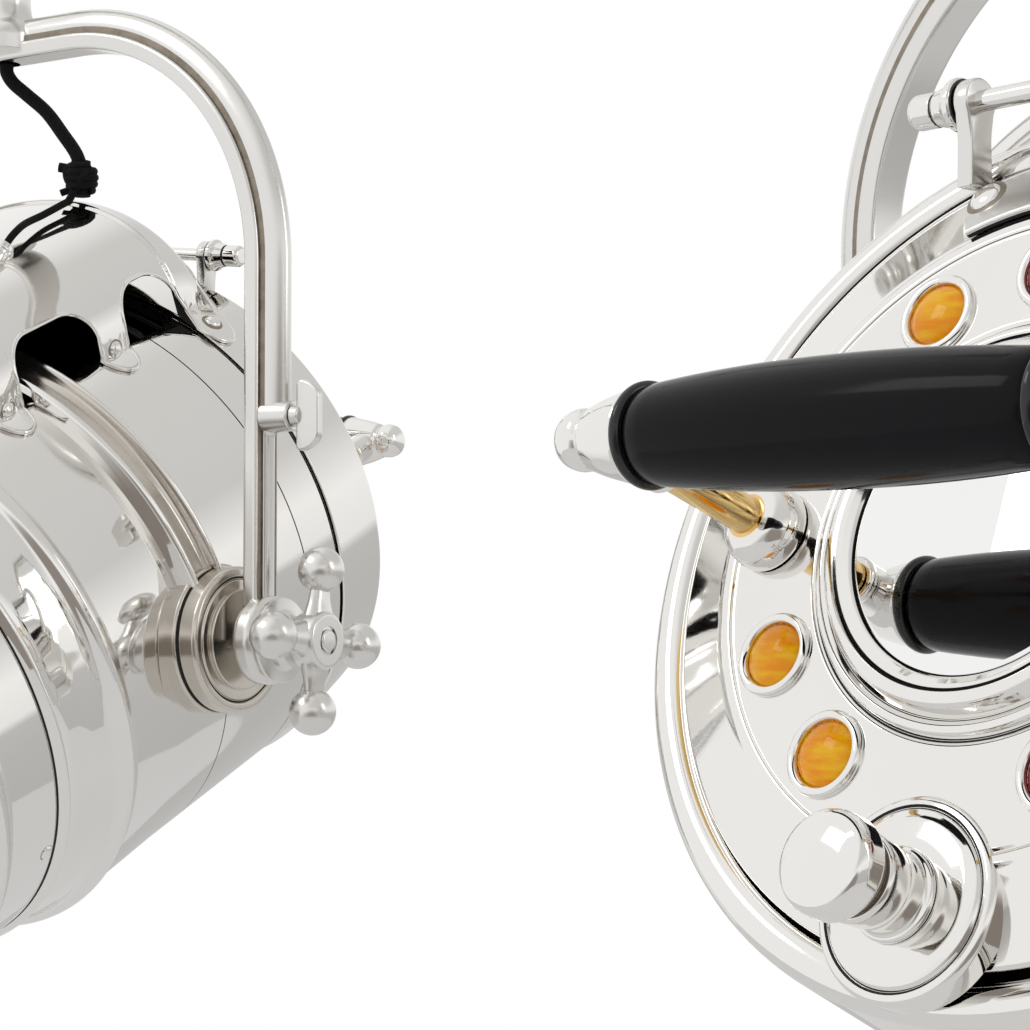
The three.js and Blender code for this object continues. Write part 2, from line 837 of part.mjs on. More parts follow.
function drum() {
  const beadRear = -bandBeadBack + bandBeadHalf;
  const beadFront = -bandBeadBack - bandBeadHalf;
  const noseInner = drumNoseRadius - noseLipWidth;
  const shell = turned(
    [
      [drumRearRadius, drumRear],
      [drumRadius, -pivotBack - hoopHalf],
      [drumRadius, beadRear],
      [drumRadius + bandBeadRise, beadRear - bandBeadHalf / 2],
      [drumRadius + bandBeadRise, beadFront + bandBeadHalf / 2],
      [drumRadius - bandBeadRise, beadFront],
      [drumNoseRadius, drumNose],
      [noseInner, drumNose],
      [noseInner, drumNose + drumWall],
      [drumNoseRadius - drumWall, drumNose + drumWall],
      [drumRadius - drumWall - bandBeadRise, beadFront],
      [drumRadius - drumWall, beadRear],
      [drumRearRadius - drumWall, drumRear],
    ],
    bigSides,
  );
  const foot = drumRadius - drumWall / 2;
  const valley = drumRadius + hoopValleyRise;
  const crest = drumRadius + hoopRise;
  const hoopMiddle = -pivotBack;
  const hoopRing = turned(
    [
      [foot, hoopMiddle + hoopHalf],
      [crest, hoopMiddle + hoopHalf - hoopBeadHalf / 2],
      [crest, hoopMiddle + hoopHalf - 3 * hoopBeadHalf / 2],
      [valley, hoopMiddle + hoopHalf - 2 * hoopBeadHalf],
      [valley, hoopMiddle - hoopHalf + 2 * hoopBeadHalf],
      [crest, hoopMiddle - hoopHalf + 3 * hoopBeadHalf / 2],
      [crest, hoopMiddle - hoopHalf + hoopBeadHalf / 2],
      [foot, hoopMiddle - hoopHalf],
    ],
    bigSides,
  );
  const upper = block(
    [-2 * rimRadius, hoopMiddle - 2 * hoopHalf, -pivotDrop],
    [2 * rimRadius, hoopMiddle + 2 * hoopHalf, 2 * rimRadius],
  );
  const bossSpace = alongX(rod(bossRadius + fitGap, -2 * rimRadius, 2 * rimRadius, midSides));
  const bossClear = common(bossSpace.translate(0, hoopMiddle, -pivotDrop), upperAndLower());
  const hoop = cut(common(hoopRing, upper), bossClear);
  const vent = wedge(ventHalfAngle, -ventRear, -ventFront, drumNoseRadius / 2, 2 * rimRadius, 6);
  return cut(join(shell, hoop), vent);
}

// The space beside the drum, outside its wall, where the bosses stand.
function upperAndLower() {
  const space = block(
    [-2 * rimRadius, -pivotBack - 2 * bossRadius, -2 * bossRadius],
    [2 * rimRadius, -pivotBack + 2 * bossRadius, 2 * bossRadius],
  );
  return cut(space, drumEnvelope(0));
}

// The hood's outer radius at an angle from the vertical and a place along the axis, let in by a
// wall where that is wanted.
function hoodRadius(angle, along, letIn) {
  const share = Math.min(1, Math.abs(along - hoodCentre) / (hoodHalfLength - letIn));
  const rise = (hoodLift - letIn) * (1 - share ** hoodEndPower);
  const across = Math.cos(quarterTurn * Math.min(1, Math.abs(angle) / radians(hoodHalfAngle)));
  const skirt = outerRadiusAt(along) + fitGap + hoodWall - letIn;
  return skirt + rise * across ** hoodSidePower;
}

// The hood's form as a full solid, with its stations set closer towards its steep ends.
function hoodForm(letIn, inner, halfAngle) {
  const bar = new THREE.BoxGeometry(1, 1, 1, hoodSteps, hoodSteps, 1);
  return reshaped(bar, (across, along, up) => {
    const angle = radians(2 * across * halfAngle);
    const y = hoodCentre + (hoodHalfLength - letIn) * Math.sin(Math.PI * along);
    const radius = up < 0 ? inner : hoodRadius(angle, y, letIn);
    return [radius * Math.sin(angle), y, radius * Math.cos(angle)];
  });
}

// The side view of the hood: its skirt hangs in round tabs between arches.
function hoodOutline() {
  const top = 2 * rimRadius;
  const outline = new THREE.Shape();
  const edges = [];
  tabBacks.forEach((back) => edges.push([-back + tabHalf, -back - tabHalf]));
  outline.moveTo(-hoodRear + overrun, top);
  outline.lineTo(-hoodRear + overrun, archTop);
  edges.forEach(([rear, front], i) => {
    outline.lineTo(rear, archTop - archRound);
    outline.lineTo(rear, tabTipHeight + tabHalf / 2);
    outline.lineTo(rear - tabHalf / 2, tabTipHeight);
    outline.lineTo(front + tabHalf / 2, tabTipHeight);
    outline.lineTo(front, tabTipHeight + tabHalf / 2);
    outline.lineTo(front, archTop - archRound);
    if (i + 1 < edges.length) {
      const next = edges[i + 1][0];
      outline.lineTo(front - archRound / 2, archTop - archRound / 4);
      outline.lineTo(front - archRound, archTop);
      outline.lineTo(next + archRound, archTop);
      outline.lineTo(next + archRound / 2, archTop - archRound / 4);
    }
  });
  outline.lineTo(-hoodFront - overrun, archTop);
  outline.lineTo(-hoodFront - overrun, top);
  return outline;
}

function hood() {
  const outer = hoodForm(0, drumNoseRadius, hoodHalfAngle);
  const inner = hoodForm(hoodWall, drumNoseRadius / 2, hoodHalfAngle + hoodCut);
  const envelope = drumEnvelope(fitGap);
  const shell = cut(outer, inner, envelope);
  const scalloped = common(shell, plateAcross(hoodOutline(), 2 * rimRadius));
  const angle = radians(glandAngle);
  const seat = hoodRadius(angle, -glandBack, hoodWall / 2);
  const gland = alongZ(rod(glandRadius, -glandRadius, glandLength, tinySides));
  gland.rotateX(-radians(glandLean)).translate(0, 0, seat);
  return join(scalloped, cut(gland.rotateY(angle).translate(0, -glandBack, 0), inner));
}

function frontBezel() {
  const shoulder = flangeFront - fitGap;
  const pocket = reflectorRim + reflectorPocket + fitGap;
  const seat = bezelFront + bezelWall;
  const inner = lensRadius + fitGap;
  const rearBead = bezelRear - bezelBeadLength / 2;
  return turned(
    [
      [pocket, bezelRear],
      [bezelRadius + bezelBeadRise, bezelRear],
      [bezelRadius + bezelBeadRise, rearBead],
      [bezelRadius, bezelRear - bezelBeadLength],
      [bezelRadius - bezelWall / 2, bezelFront + 2 * bezelBeadLength],
      [bezelRadius + bezelBeadRise / 2, bezelFront + bezelBeadLength],
      [bezelRadius - bezelWall / 2, bezelFront],
      [lensOpening, bezelFront],
      [lensOpening, seat],
      [inner, seat],
      [inner, shoulder - bezelShoulderThickness - bezelShoulderWidth / 2],
      [pocket - bezelShoulderWidth, shoulder - bezelShoulderThickness],
      [pocket - bezelShoulderWidth, shoulder],
      [pocket, shoulder],
    ],
    bigSides,
  );
}

function lensGlass() {
  const rim = bezelFront + bezelWall + fitGap;
  const edge = lensOpening - 2 * fitGap;
  const outer = [[0, rim - lensRise]];
  const inner = [[0, rim - lensRise + lensThickness]];
  for (const share of [0.45, 0.8]) {
    const drop = lensRise * (1 - share * share);
    outer.push([edge * share, rim - drop]);
    inner.push([edge * share, rim - drop + lensThickness]);
  }
  outer.push([edge, rim], [lensRadius, rim], [lensRadius, rim + lensRimThickness]);
  return turned([...outer, [edge, rim + lensRimThickness], ...inner.reverse()], bigSides);
}

// The bowl's depth below its rim at a radius.
function bowlAt(radius) {
  const share = radius / reflectorRim;
  return drumNose - fitGap + reflectorDepth * (1 - share * share);
}

function reflector() {
  const neck = holderRadius + holderNeckGap;
  const shares = [0, 0.3, 0.65, 1];
  const radii = shares.map((share) => neck + (reflectorRim - neck) * share);
  const front = radii.map((radius) => [radius, bowlAt(radius) - reflectorFlangeThickness]);
  const back = radii.map((radius) => [
    radius + reflectorWall,
    bowlAt(radius) + reflectorWall - reflectorFlangeThickness,
  ]);
  back[0] = [neck, front[0][1] + 2 * reflectorWall];
  const rim = drumNose - fitGap;
  const outside = reflectorRim + reflectorFlange;
  back.pop();
  return turned(
    [
      ...front,
      [outside, rim - reflectorFlangeThickness],
      [outside, rim],
      [reflectorRim + reflectorWall, rim],
      ...back.reverse(),
    ],
    midSides,
  );
}

const holderSeat = () => {
  const lip = bowlAt(holderRadius + holderNeckGap) - reflectorFlangeThickness;
  return lip + 2 * reflectorWall + fitGap;
};

function lampholder() {
  const seat = holderSeat();
  const front = seat - holderReach;
  const bore = bulbCapRadius + runGap;
  return turned(
    [
      [0, front + holderLength],
      [holderRadius, front + holderLength],
      [holderRadius, seat + holderFlangeThickness],
      [holderFlangeRadius, seat + holderFlangeThickness],
      [holderFlangeRadius, seat],
      [holderRadius, seat],
      [holderRadius, front],
      [bore, front],
      [bore, front + bulbCapLength + 2 * fitGap],
      [0, front + bulbCapLength + 2 * fitGap],
    ],
    smallSides,
  );
}

function bulb() {
  const front = holderSeat() - holderReach - fitGap;
  const shareOfLength = [0.25, 0.45, 0.68, 0.88];
  const shareOfRadius = [0.72, 0.96, 0.98, 0.62];
  const envelope = shareOfLength.map((share, i) => [
    bulbRadius * shareOfRadius[i],
    front - bulbLength * share,
  ]);
  return turned(
    [
      [0, front + bulbCapLength],
      [bulbCapRadius, front + bulbCapLength],
      [bulbCapRadius, front],
      ...envelope,
      [0, front - bulbLength],
    ],
    smallSides,
  );
}

// The door's rear surface from its edge to the mirror's pocket.
function doorFace() {
  return [
    [doorRadius, 0],
    [doorStepRadius, zoneTop],
    [hubBeadRadius, zoneTop],
    [hubLipRadius, zoneTop + hubLipRise],
    [mirrorRadius + fitGap, hubTop],
  ];
}

function rearDoor() {
  const floor = zoneTop + mirrorFloor;
  const pocket = mirrorRadius + fitGap;
  const under = zoneTop - doorPlate;
  const shell = turned(
    [
      [0, under],
      [doorStepRadius - doorPlate / 2, under],
      [doorRadius - doorEdgeThickness, -doorPlate],
      [doorRadius - doorEdgeThickness, -seatDrop + fitGap],
      [doorRadius, -seatDrop + fitGap],
      ...doorFace(),
      [pocket, floor],
      [0, floor],
    ],
    bigSides,
  );
  const plate = rod(latchPlateRadius, latchPlateLift, latchPlateRise, midSides);
  const hole = bore(latchShaft + runGap, -seatDrop, latchPlateRise + overrun, smallSides);
  const place = (piece) => piece.translate(0, 0, -latchDrop);
  const jewelHoles = [...amberAngles, ...redAngles].map((angle) => {
    return atJewel(rod(jewelRadius + runGap, 0, 2 * zoneTop, tinySides), angle);
  });
  return cut(join(shell, place(plate)), place(hole), ...jewelHoles);
}

function doorMirror() {
  const low = zoneTop + mirrorFloor + fitGap;
  const bevel = hubTop - low;
  return turned(
    [[0, low], [mirrorRadius, low], [mirrorRadius, hubTop - bevel / 3], [0, hubTop]],
    bigSides,
  );
}

// Jewels of one colour, standing through the door from a curved strip behind its plate.
function jewels(angles) {
  const back = zoneTop - doorPlate - fitGap;
  const top = zoneTop + jewelHeight;
  const shape = [
    [0, back - jewelStripThickness / 2],
    [jewelRadius, back - jewelStripThickness / 2],
    [jewelRadius, zoneTop],
    [0, top],
  ];
  const stones = angles.map((angle) => atJewel(turned(shape, tinySides), angle));
  const margin = radians(jewelStripMargin);
  const [first, last] = [radians(angles[0]) - margin, radians(angles.at(-1)) + margin];
  const outline = new THREE.Shape();
  outline.absarc(0, 0, jewelCircle + jewelStripHalf, first, last, false);
  outline.absarc(0, 0, jewelCircle - jewelStripHalf, last, first, true);
  const depth = jewelStripThickness;
  const options = { depth, bevelEnabled: false, curveSegments: stripSides };
  const flat = new THREE.ExtrudeGeometry(outline, options);
  const strip = reshaped(flat, (x, z, along) => [x, back - depth + along, z]);
  return join(strip, ...stones);
}

// Puts a piece that stands on Y at an angle on the jewels' circle.
function atJewel(piece, angle) {
  const turn = radians(angle);
  return piece.translate(jewelCircle * Math.cos(turn), 0, jewelCircle * Math.sin(turn));
}

function handleGrip() {
  const shares = [0, 0.3, 0.7];
  const half = shares.map((share) => {
    const radius = gripRadius - (gripRadius - gripEndRadius) * share * share;
    return [radius, gripHalf * share];
  });
  half.push([gripEndRadius, gripHalf]);
  const other = half.slice(1).map(([radius, along]) => [radius, -along]);
  const outline = [...other.reverse(), ...half, [gripBore, gripHalf], [gripBore, -gripHalf]];
  return alongX(turned(outline, smallSides)).translate(0, handleStand, 0);
}

// The handle's rod through the grip, with a ferrule, a finial and a post socket at each end.
function handleRod() {
  const start = gripHalf + fitGap;
  const bodyStart = start + ferruleFlangeLength;
  const bodyEnd = start + ferruleLength;
  const half = [
    [gripBore - fitGap, start],
    [ferruleFlangeRadius, start],
    [ferruleFlangeRadius, bodyStart],
    [ferruleRadius, bodyStart + ferruleFlangeLength / 2],
    [ferruleRadius, bodyEnd],
    [finialNeckRadius, bodyEnd + ferruleFlangeLength / 2],
    [finialBallRadius, (bodyEnd + handleHalf) / 2],
    [finialNeckRadius, handleHalf - ferruleFlangeLength / 2],
    [0, handleHalf],
  ];
  const other = half.map(([radius, along]) => [radius, -along]).reverse();
  const bar = alongX(turned([...other, ...half], smallSides));
  const sockets = [1, -1].map((side) => {
    return rod(postSocketRadius, -postSocketReach, 0, tinySides).translate(side * postSpan, 0, 0);
  });
  return join(bar, ...sockets).translate(0, handleStand, 0);
}

function handlePost(side) {
  const seat = zoneTop + fitGap;
  const top = handleStand - postSocketReach - fitGap;
  const outline = [
    [0, seat],
    [footRadius, seat],
    [footRadius, seat + footHeight],
    [footStepRadius, seat + footHeight],
    [footStepRadius, seat + footHeight + footStepHeight],
    [postRadius, seat + footHeight + footStepHeight],
    [postRadius, top],
    [0, top],
  ];
  return turned(outline, smallSides).translate(side * postSpan, 0, 0);
}

// The form of the door's face, let out by a gap, as a solid that seats can be cut with.
function doorForm(gap) {
  const face = doorFace().map(([radius, along]) => [radius, along + gap]);
  face[0][0] = doorRadius + gap;
  return turned([[0, -seatDrop], [doorRadius + gap, -seatDrop], ...face, [0, hubTop]], bigSides);
}

// The hinge's door half: a band on the door's cone with a leaning ear at each end and two dome
// screws.
function hingeBracket(turn) {
  const slope = zoneTop / (doorRadius - doorStepRadius);
  const faceAt = (radius) => zoneTop - (radius - doorStepRadius) * slope;
  const lift = fitGap + hingeBandThickness;
  const ring = turned(
    [
      [hingeBandInner, faceAt(hingeBandInner) - hingeBandThickness],
      [hingeBandOuter, faceAt(hingeBandOuter) - hingeBandThickness],
      [hingeBandOuter, faceAt(hingeBandOuter) + lift],
      [hingeBandInner, faceAt(hingeBandInner) + lift],
    ],
    bigSides,
  );
  const span = block(
    [-hingeSpan, -rimRadius, hingeBandInner / 2],
    [hingeSpan, rimRadius, 2 * rimRadius],
  ).rotateY(radians(turn));
  const pieces = [common(ring, span)];
  for (const side of [1, -1]) {
    const [near, far] = [side * (hingeSpan - hingeEarThickness), side * hingeSpan];
    const eye = alongX(rod(hingeEyeRadius, near, far, smallSides));
    const ear = block(
      [Math.min(near, far), -hingeEarDepth / 2, -hingeEarLength],
      [Math.max(near, far), hingeEarDepth / 2, 0],
    ).rotateX(-radians(hingeEarLean));
    const angle = side > 0 ? radians(hingeScrewAngle) : Math.PI - radians(hingeScrewAngle);
    const radius = (hingeBandInner + hingeBandOuter) / 2;
    const face = faceAt(radius) + lift;
    const dome = rod(hingeScrewRadius, face - lift, face + hingeScrewHeight, tinySides);
    dome.translate(radius * Math.cos(angle), 0, radius * Math.sin(angle)).rotateY(radians(turn));
    pieces.push(atHinge(eye, turn), atHinge(ear, turn), dome);
  }
  const hole = alongX(bore(hingeRod + runGap, -2 * hingeSpan, 2 * hingeSpan, smallSides));
  return cut(join(...pieces), doorForm(fitGap), atHinge(hole, turn));
}

// The hinge's rod, with a tapered nut outside each ear.
function hingePin(turn) {
  const nut = hingeSpan + runGap;
  const end = nut + hingeNutLength;
  const right = [
    [hingeRod, nut],
    [hingeNutRadius, nut],
    [hingeNutRadius, nut + hingeNutLength / 3],
    [hingeTipRadius, end],
    [hingeTipRadius, end + hingeTipLength],
    [0, end + hingeTipLength],
  ];
  const left = right.map(([radius, along]) => [radius, -along]).reverse();
  return atHinge(alongX(turned([...left, ...right], tinySides)), turn);
}

// The latch knob, its shaft through the door and the tongue that turns behind the seat.
function latchKnob() {
  const face = latchPlateRise + fitGap;
  const neckEnd = face + latchNeckLength;
  const tipStart = neckEnd + latchGrooveLength;
  const tongueTop = -seatDrop - seatThickness - fitGap;
  const tongueLow = tongueTop - tongueThickness;
  const body = turned(
    [
      [0, tongueLow],
      [latchShaft, tongueLow],
      [latchShaft, face],
      [latchNeckRadius, face],
      [latchNeckRadius, neckEnd],
      [latchGrooveRadius, neckEnd],
      [latchGrooveRadius, tipStart],
      [latchTipRadius, tipStart],
      [latchTipRadius, tipStart + latchTipLength],
      [latchTipRadius / 2, tipStart + latchTipLength + latchDome],
      [0, tipStart + latchTipLength + latchDome],
    ],
    smallSides,
  );
  const tongue = block([-latchShaft, tongueLow, -tongueHalf], [tongueReach, tongueTop, tongueHalf]);
  return join(body, tongue).translate(0, 0, -latchDrop);
}

// The cord's route in the yoke's frame, from under the crown to the tie, and each head's lead from
// the tie to the hood's gland, as points chosen by hand.
const cordRoute = [
  [0, 0, 320.2], [0, 0, 316], [2.2, 2.2, 310.5], [8, 6.8, 304], [17.9, 12.9, 293.8],
  [26.7, 16.9, 281], [33.8, 19.8, 270], [37.2, 20.5, 262],
];
const leadRoutes = {
  a: [
    [38, 9.5, 241.2], [38.3, 2.3, 237.6], [39, -12, 230.4], [42.6, -29, 223.2],
    [46.3, -38.8, 218.2], [45.81, -43.21, 213.76], [45.18, -46.5, 209.26],
  ],
  b: [
    [38, 9.5, 241.2], [38.3, 2.3, 237.6], [38.8, -6, 232.6], [42.5, -20, 225.6],
    [46.2, -28.2, 220.3], [45.81, -32.72, 215.61], [45.18, -36.22, 211.28],
  ],
};

// A round tube along a route, with its ends square to it.
function tube(route, radius, steps) {
  const points = route.map(([x, y, z]) => new THREE.Vector3(x, y, z));
  const path = new THREE.CatmullRomCurve3(points, false, 'centripetal');
  const section = new THREE.Shape();
  for (let i = 0; i < cordSides; i += 1) {
    const angle = (i / cordSides) * 2 * Math.PI;
    const corner = [radius * Math.cos(angle), radius * Math.sin(angle)];
    if (i === 0) {
      section.moveTo(...corner);
    } else {
      section.lineTo(...corner);
    }
  }
  return weld(new THREE.ExtrudeGeometry(section, { steps, extrudePath: path }));
}

// The cord with the tie at its end, a knot of wraps with a short neck for the lead.
function cord() {
  const knot = alongZ(
    turned(
      [
        [0, -tieHalf],
        [tieRadius / 2, -tieHalf],
        [tieRadius, -tieHalf / 2],
        [tieRadius, tieHalf / 2],
        [tieRadius / 2, tieHalf],
        [0, tieHalf],
      ],
      tinySides,
    ),
  ).translate(...tiePlace);
  const start = new THREE.Vector3(...leadRoutes.a[0]);
  const onward = new THREE.Vector3(...leadRoutes.a[1]).sub(start).normalize();
  const turn = new THREE.Quaternion().setFromUnitVectors(new THREE.Vector3(0, 1, 0), onward);
  const neck = rod(2 * leadRadius, -tieNeck, -fitGap, tinySides);
  neck.applyQuaternion(turn).translate(...start);
  return join(tube(cordRoute, cordRadius, cordSteps), knot, neck);
}

// One head: the yoke's pieces in the pivot frame, and the head's own in the drum frame.
function hangingHead(name) {
  const side = name === 'a' ? -1 : 1;
  const hingeTurn = hingeTurnOfHead[name];
  const height = (name === 'a' ? upperArmZ : lowerArmZ) - armAbovePivot;
  const called = (piece) => `${piece}_${name}`;
  const pan = new THREE.Group();
  pan.position.set(side * armReach, 0, height);
  pan.rotation.z = radians(panOfHead[name]);
  pan.add(
    mesh(called('swivel_stem'), stem(), nickel),
    mesh(called('yoke'), yoke(), nickel),
    mesh(called('wing_screw'), wingScrew(), nickel),
    mesh(called('cord'), cord(), blackCord),
    mesh(called('cord_lead'), tube(leadRoutes[name], leadRadius, leadSteps), blackCord),
  );

  const tilt = new THREE.Group();
  tilt.rotation.x = radians(tiltOfHead[name]);
  tilt.add(
    mesh(called('clamp_knob_left'), clampKnob(1), nickel),
    mesh(called('clamp_knob_right'), clampKnob(-1), nickel),
  );
  pan.add(tilt);

  const body = new THREE.Group();
  body.position.set(0, pivotBack, pivotDrop);
  body.add(
    mesh(called('pivot_boss_left'), pivotBoss(1), nickel),
    mesh(called('pivot_boss_right'), pivotBoss(-1), nickel),
    mesh(called('drum'), drum(), nickel),
    mesh(called('rear_ring'), rearRing(hingeTurn), nickel),
    mesh(called('front_bezel'), frontBezel(), nickel),
    mesh(called('lens_glass'), lensGlass(), glass),
    mesh(called('reflector'), reflector(), nickel),
    mesh(called('lampholder'), lampholder(), ceramicWhite),
    mesh(called('bulb'), bulb(), glass),
    mesh(called('hood'), hood(), nickel),
    mesh(called('rear_door'), rearDoor(), nickel),
    mesh(called('door_mirror'), doorMirror(), nickel),
    mesh(called('amber_jewels'), jewels(amberAngles), amberGlass),
    mesh(called('red_jewels'), jewels(redAngles), redGlass),
    mesh(called('handle_grip'), handleGrip(), blackGloss),
    mesh(called('handle_rod'), handleRod(), nickel),
    mesh(called('handle_post_left'), handlePost(1), brass),
    mesh(called('handle_post_right'), handlePost(-1), brass),
    mesh(called('hinge_bracket'), hingeBracket(hingeTurn), nickel),
    mesh(called('hinge_pin'), hingePin(hingeTurn), nickel),
    mesh(called('latch_knob'), latchKnob(), nickel),
  );
  tilt.add(body);
  return pan;
}

const chandelier = new THREE.Group();
chandelier.add(
  mesh('down_rod', downRod(), nickel),
  mesh('canopy', canopy(), nickel),
  mesh('cross_arm_a', crossArm(-1, upperArmZ), nickel),
  mesh('cross_arm_b', crossArm(1, lowerArmZ), nickel),
  hangingHead('a'),
  hangingHead('b'),
);

export default chandelier;
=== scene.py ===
"""A chandelier of two searchlight heads in polished nickel, dressed round its CAD frame."""
import json
from math import atan2, cos, degrees, pi, radians, sin, sqrt

import bmesh
import bpy
from mathutils import Matrix, Vector


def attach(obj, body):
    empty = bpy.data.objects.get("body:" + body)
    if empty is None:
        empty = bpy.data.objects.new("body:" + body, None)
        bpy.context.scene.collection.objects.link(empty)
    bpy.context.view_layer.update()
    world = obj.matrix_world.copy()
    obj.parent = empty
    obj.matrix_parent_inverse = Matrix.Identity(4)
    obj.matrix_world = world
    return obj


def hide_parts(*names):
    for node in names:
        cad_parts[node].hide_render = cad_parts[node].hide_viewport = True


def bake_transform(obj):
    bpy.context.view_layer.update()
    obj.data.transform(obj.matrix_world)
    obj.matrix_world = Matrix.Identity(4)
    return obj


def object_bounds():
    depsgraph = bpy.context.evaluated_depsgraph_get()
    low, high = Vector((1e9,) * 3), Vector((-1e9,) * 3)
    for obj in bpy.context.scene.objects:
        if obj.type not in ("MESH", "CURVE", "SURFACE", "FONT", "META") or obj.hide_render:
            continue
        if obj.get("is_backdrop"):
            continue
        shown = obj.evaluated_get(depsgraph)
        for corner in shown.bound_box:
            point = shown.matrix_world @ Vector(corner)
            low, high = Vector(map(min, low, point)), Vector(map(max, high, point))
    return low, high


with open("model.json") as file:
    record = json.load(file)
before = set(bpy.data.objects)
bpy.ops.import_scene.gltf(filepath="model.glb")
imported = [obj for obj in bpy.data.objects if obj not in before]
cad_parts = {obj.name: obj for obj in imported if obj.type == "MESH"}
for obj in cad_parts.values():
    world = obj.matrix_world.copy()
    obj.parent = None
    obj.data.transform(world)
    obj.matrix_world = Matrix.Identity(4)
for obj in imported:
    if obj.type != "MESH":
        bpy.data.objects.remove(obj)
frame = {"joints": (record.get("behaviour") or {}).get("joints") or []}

bl_info = {
    "name": "Searchlight Chandelier",
    "version": (1, 0, 0),
    "blender": (4, 5, 0),
    "location": "View3D > Sidebar > Chandelier",
    "description": "Builds a two headed searchlight chandelier in polished nickel",
    "category": "Add Mesh",
}


def spin(angle, axis):
    return Matrix.Rotation(radians(angle), 4, axis)


def moved(place, x=0, y=0, z=0):
    return place @ Matrix.Translation((x, y, z))


MM = 0.001
WHOLE = Matrix.Scale(MM, 4)
UP = Vector((0, 0, 1))
ALONG_X, ALONG_MINUS_X, ALONG_Z = spin(-90, "Z"), spin(90, "Z"), spin(90, "X")
JOINTS = {joint["name"]: joint for joint in frame["joints"]}

# Fineness of round pieces
BIG_SIDES, BOWL_SIDES, MID_SIDES, SMALL_SIDES, JEWEL_SIDES = 160, 120, 72, 40, 28
CORD_SIDES, CORE_SIDES, STRAND_SIDES = 20, 14, 12
SHARP = radians(38)
EDGE, CORNER_SHARE, STRAIGHT = 0.6, 0.42, -0.9998

# Where the photograph was taken from, counted from the middle between the two tilt pivots
CAMERA_OFFSET = (0.69245, -0.77649, 0.04240)
CAMERA_FORWARD = (-0.65827, 0.75208, 0.03254)
CAMERA_LENS, SENSOR_WIDTH = 80.39, 36

# Sizes in millimetres, as the frame has them
FIT_GAP = 0.3
PLATE_RADIUS, PLATE_THICKNESS = 75, 6
CANOPY_RADIUS, CANOPY_HEIGHT, CANOPY_LIP = 66, 52, 10
CANOPY_SHOULDER, CANOPY_SHOULDER_DROP, CANOPY_WALL = 46, 34, 2
ROD_RADIUS, ROD_DROP, ROD_NUT, ROD_NUT_HEIGHT, FINIAL = 11, 336, 20, 12, 13
COLLAR_RADIUS, COLLAR_HEIGHT = 26, 33
ARM_RADIUS, ARM_REACH, SOCKET_RADIUS, SOCKET_HEIGHT = 11, 366, 18, 30
ARM_HEIGHTS = {"a": -ROD_DROP, "b": -ROD_DROP - COLLAR_HEIGHT - FIT_GAP}
STEM_RADIUS, STEM_CAP, STEM_CAP_HEIGHT, STEM_SHOULDER, STEM_SHOULDER_HEIGHT = 8, 15, 9, 14, 12
SPINDLE, STEM_NUT, STEM_NUT_HEIGHT = 5.5, 8, 5
YOKE_HALF, YOKE_CROWN, YOKE_BEND = 175.5, 320.5, 125
STRIP_THICKNESS, STRIP_WIDTH = 9, 19
RIB_THICKNESS, RIB_WIDTH, RIB_END, RIB_TAPER = 14, 14, 104, 14
LEG_ROD_THICKNESS, LEG_ROD_WIDTH = 3, 9
CROWN_TOP = YOKE_CROWN + STRIP_THICKNESS + RIB_THICKNESS
YOKE_BOSS, YOKE_BOSS_TOP, YOKE_FILLET = 13, CROWN_TOP + 38, 21
EYE_RADIUS, EYE_THICKNESS, STUD_HOLE = 23, 12, 5.6
EYE_MIDDLE = YOKE_HALF + STRIP_THICKNESS + 1
WING_HEIGHT, WING_FACE = 115, YOKE_HALF + STRIP_THICKNESS + RIB_THICKNESS + 3 + FIT_GAP
PIVOT_BACK, PIVOT_DROP = 167, 14
RING_RADIUS, RING_LIP, RING_FLARE = 150, -50.9, 5
DRUM_REAR, DRUM_NOSE, DRUM_WALL = -52.5, -280, 2.5
BAND_BEAD = -245
VENT_HALF_ANGLE, VENT_REAR, VENT_FRONT, VENT_STRAP = 33.5, -62, -203, -80
HOOD_CENTRE, HOOD_HALF, HOOD_RISE, HOOD_WALL = -117.5, 99.5, 46, 2
HOOD_HALF_ANGLE, HOOD_END_POWER, HOOD_FULLNESS, HOOD_ROUNDING = 34, 12, 3, 0.72
TABS = ((-40, 110), (-109, 119), (-197, 117))
TAB_HALF, ARCH_TOP, ARCH_ROUND = 11, 160, 20
GLAND_BACK, GLAND_ANGLE, GLAND_LEAN, GLAND_RADIUS, GLAND_LENGTH = -135, 13, 60, 6, 14
GLAND_SEAT = 193.65
BEZEL_REAR, BEZEL_FRONT = -280.3, -333.3
BEZEL_SCREW_RADIUS, BEZEL_SCREW_BACK, BEZEL_SCREW_ANGLES = 137.2, -292.5, (-31, 211)
LENS_RADIUS, LENS_OPENING, LENS_BULGE = 131, 118, 13
REFLECTOR_RIM, REFLECTOR_DEPTH, REFLECTOR_NECK = 122, 86, 20.7
DOOR_RADIUS, DOOR_STEP, DOOR_RISE, HUB_BEAD, HUB_LIP, MIRROR = 134.8, 106.5, 10, 64.7, 58, 50
JEWEL_CIRCLE, JEWEL_RADIUS, JEWEL_HEIGHT, JEWEL_STRIP_HALF = 87, 10.9, 3.5, 4
AMBER_ANGLES, RED_ANGLES = (-60, -30, 30, 60), (90, 120, 150, 210, 240)
LATCH_DROP, LATCH_PLATE, LATCH_FACE = 117, 31.5, 14.3
HANDLE_STAND, POST_SPAN, GRIP_HALF, HANDLE_HALF = 86, 91, 74, 115
GRIP_RADIUS, GRIP_END = 19.3, 16
HINGE_TURN = {"a": 6.5, "b": 0}
HINGE_BEHIND, HINGE_HEIGHT, HINGE_SPAN, HINGE_EYE, HINGE_ROD = 17, 151, 48, 8, 3.8
HINGE_BAND, HINGE_SCREW_ANGLES = (111, 133), (72, 108)
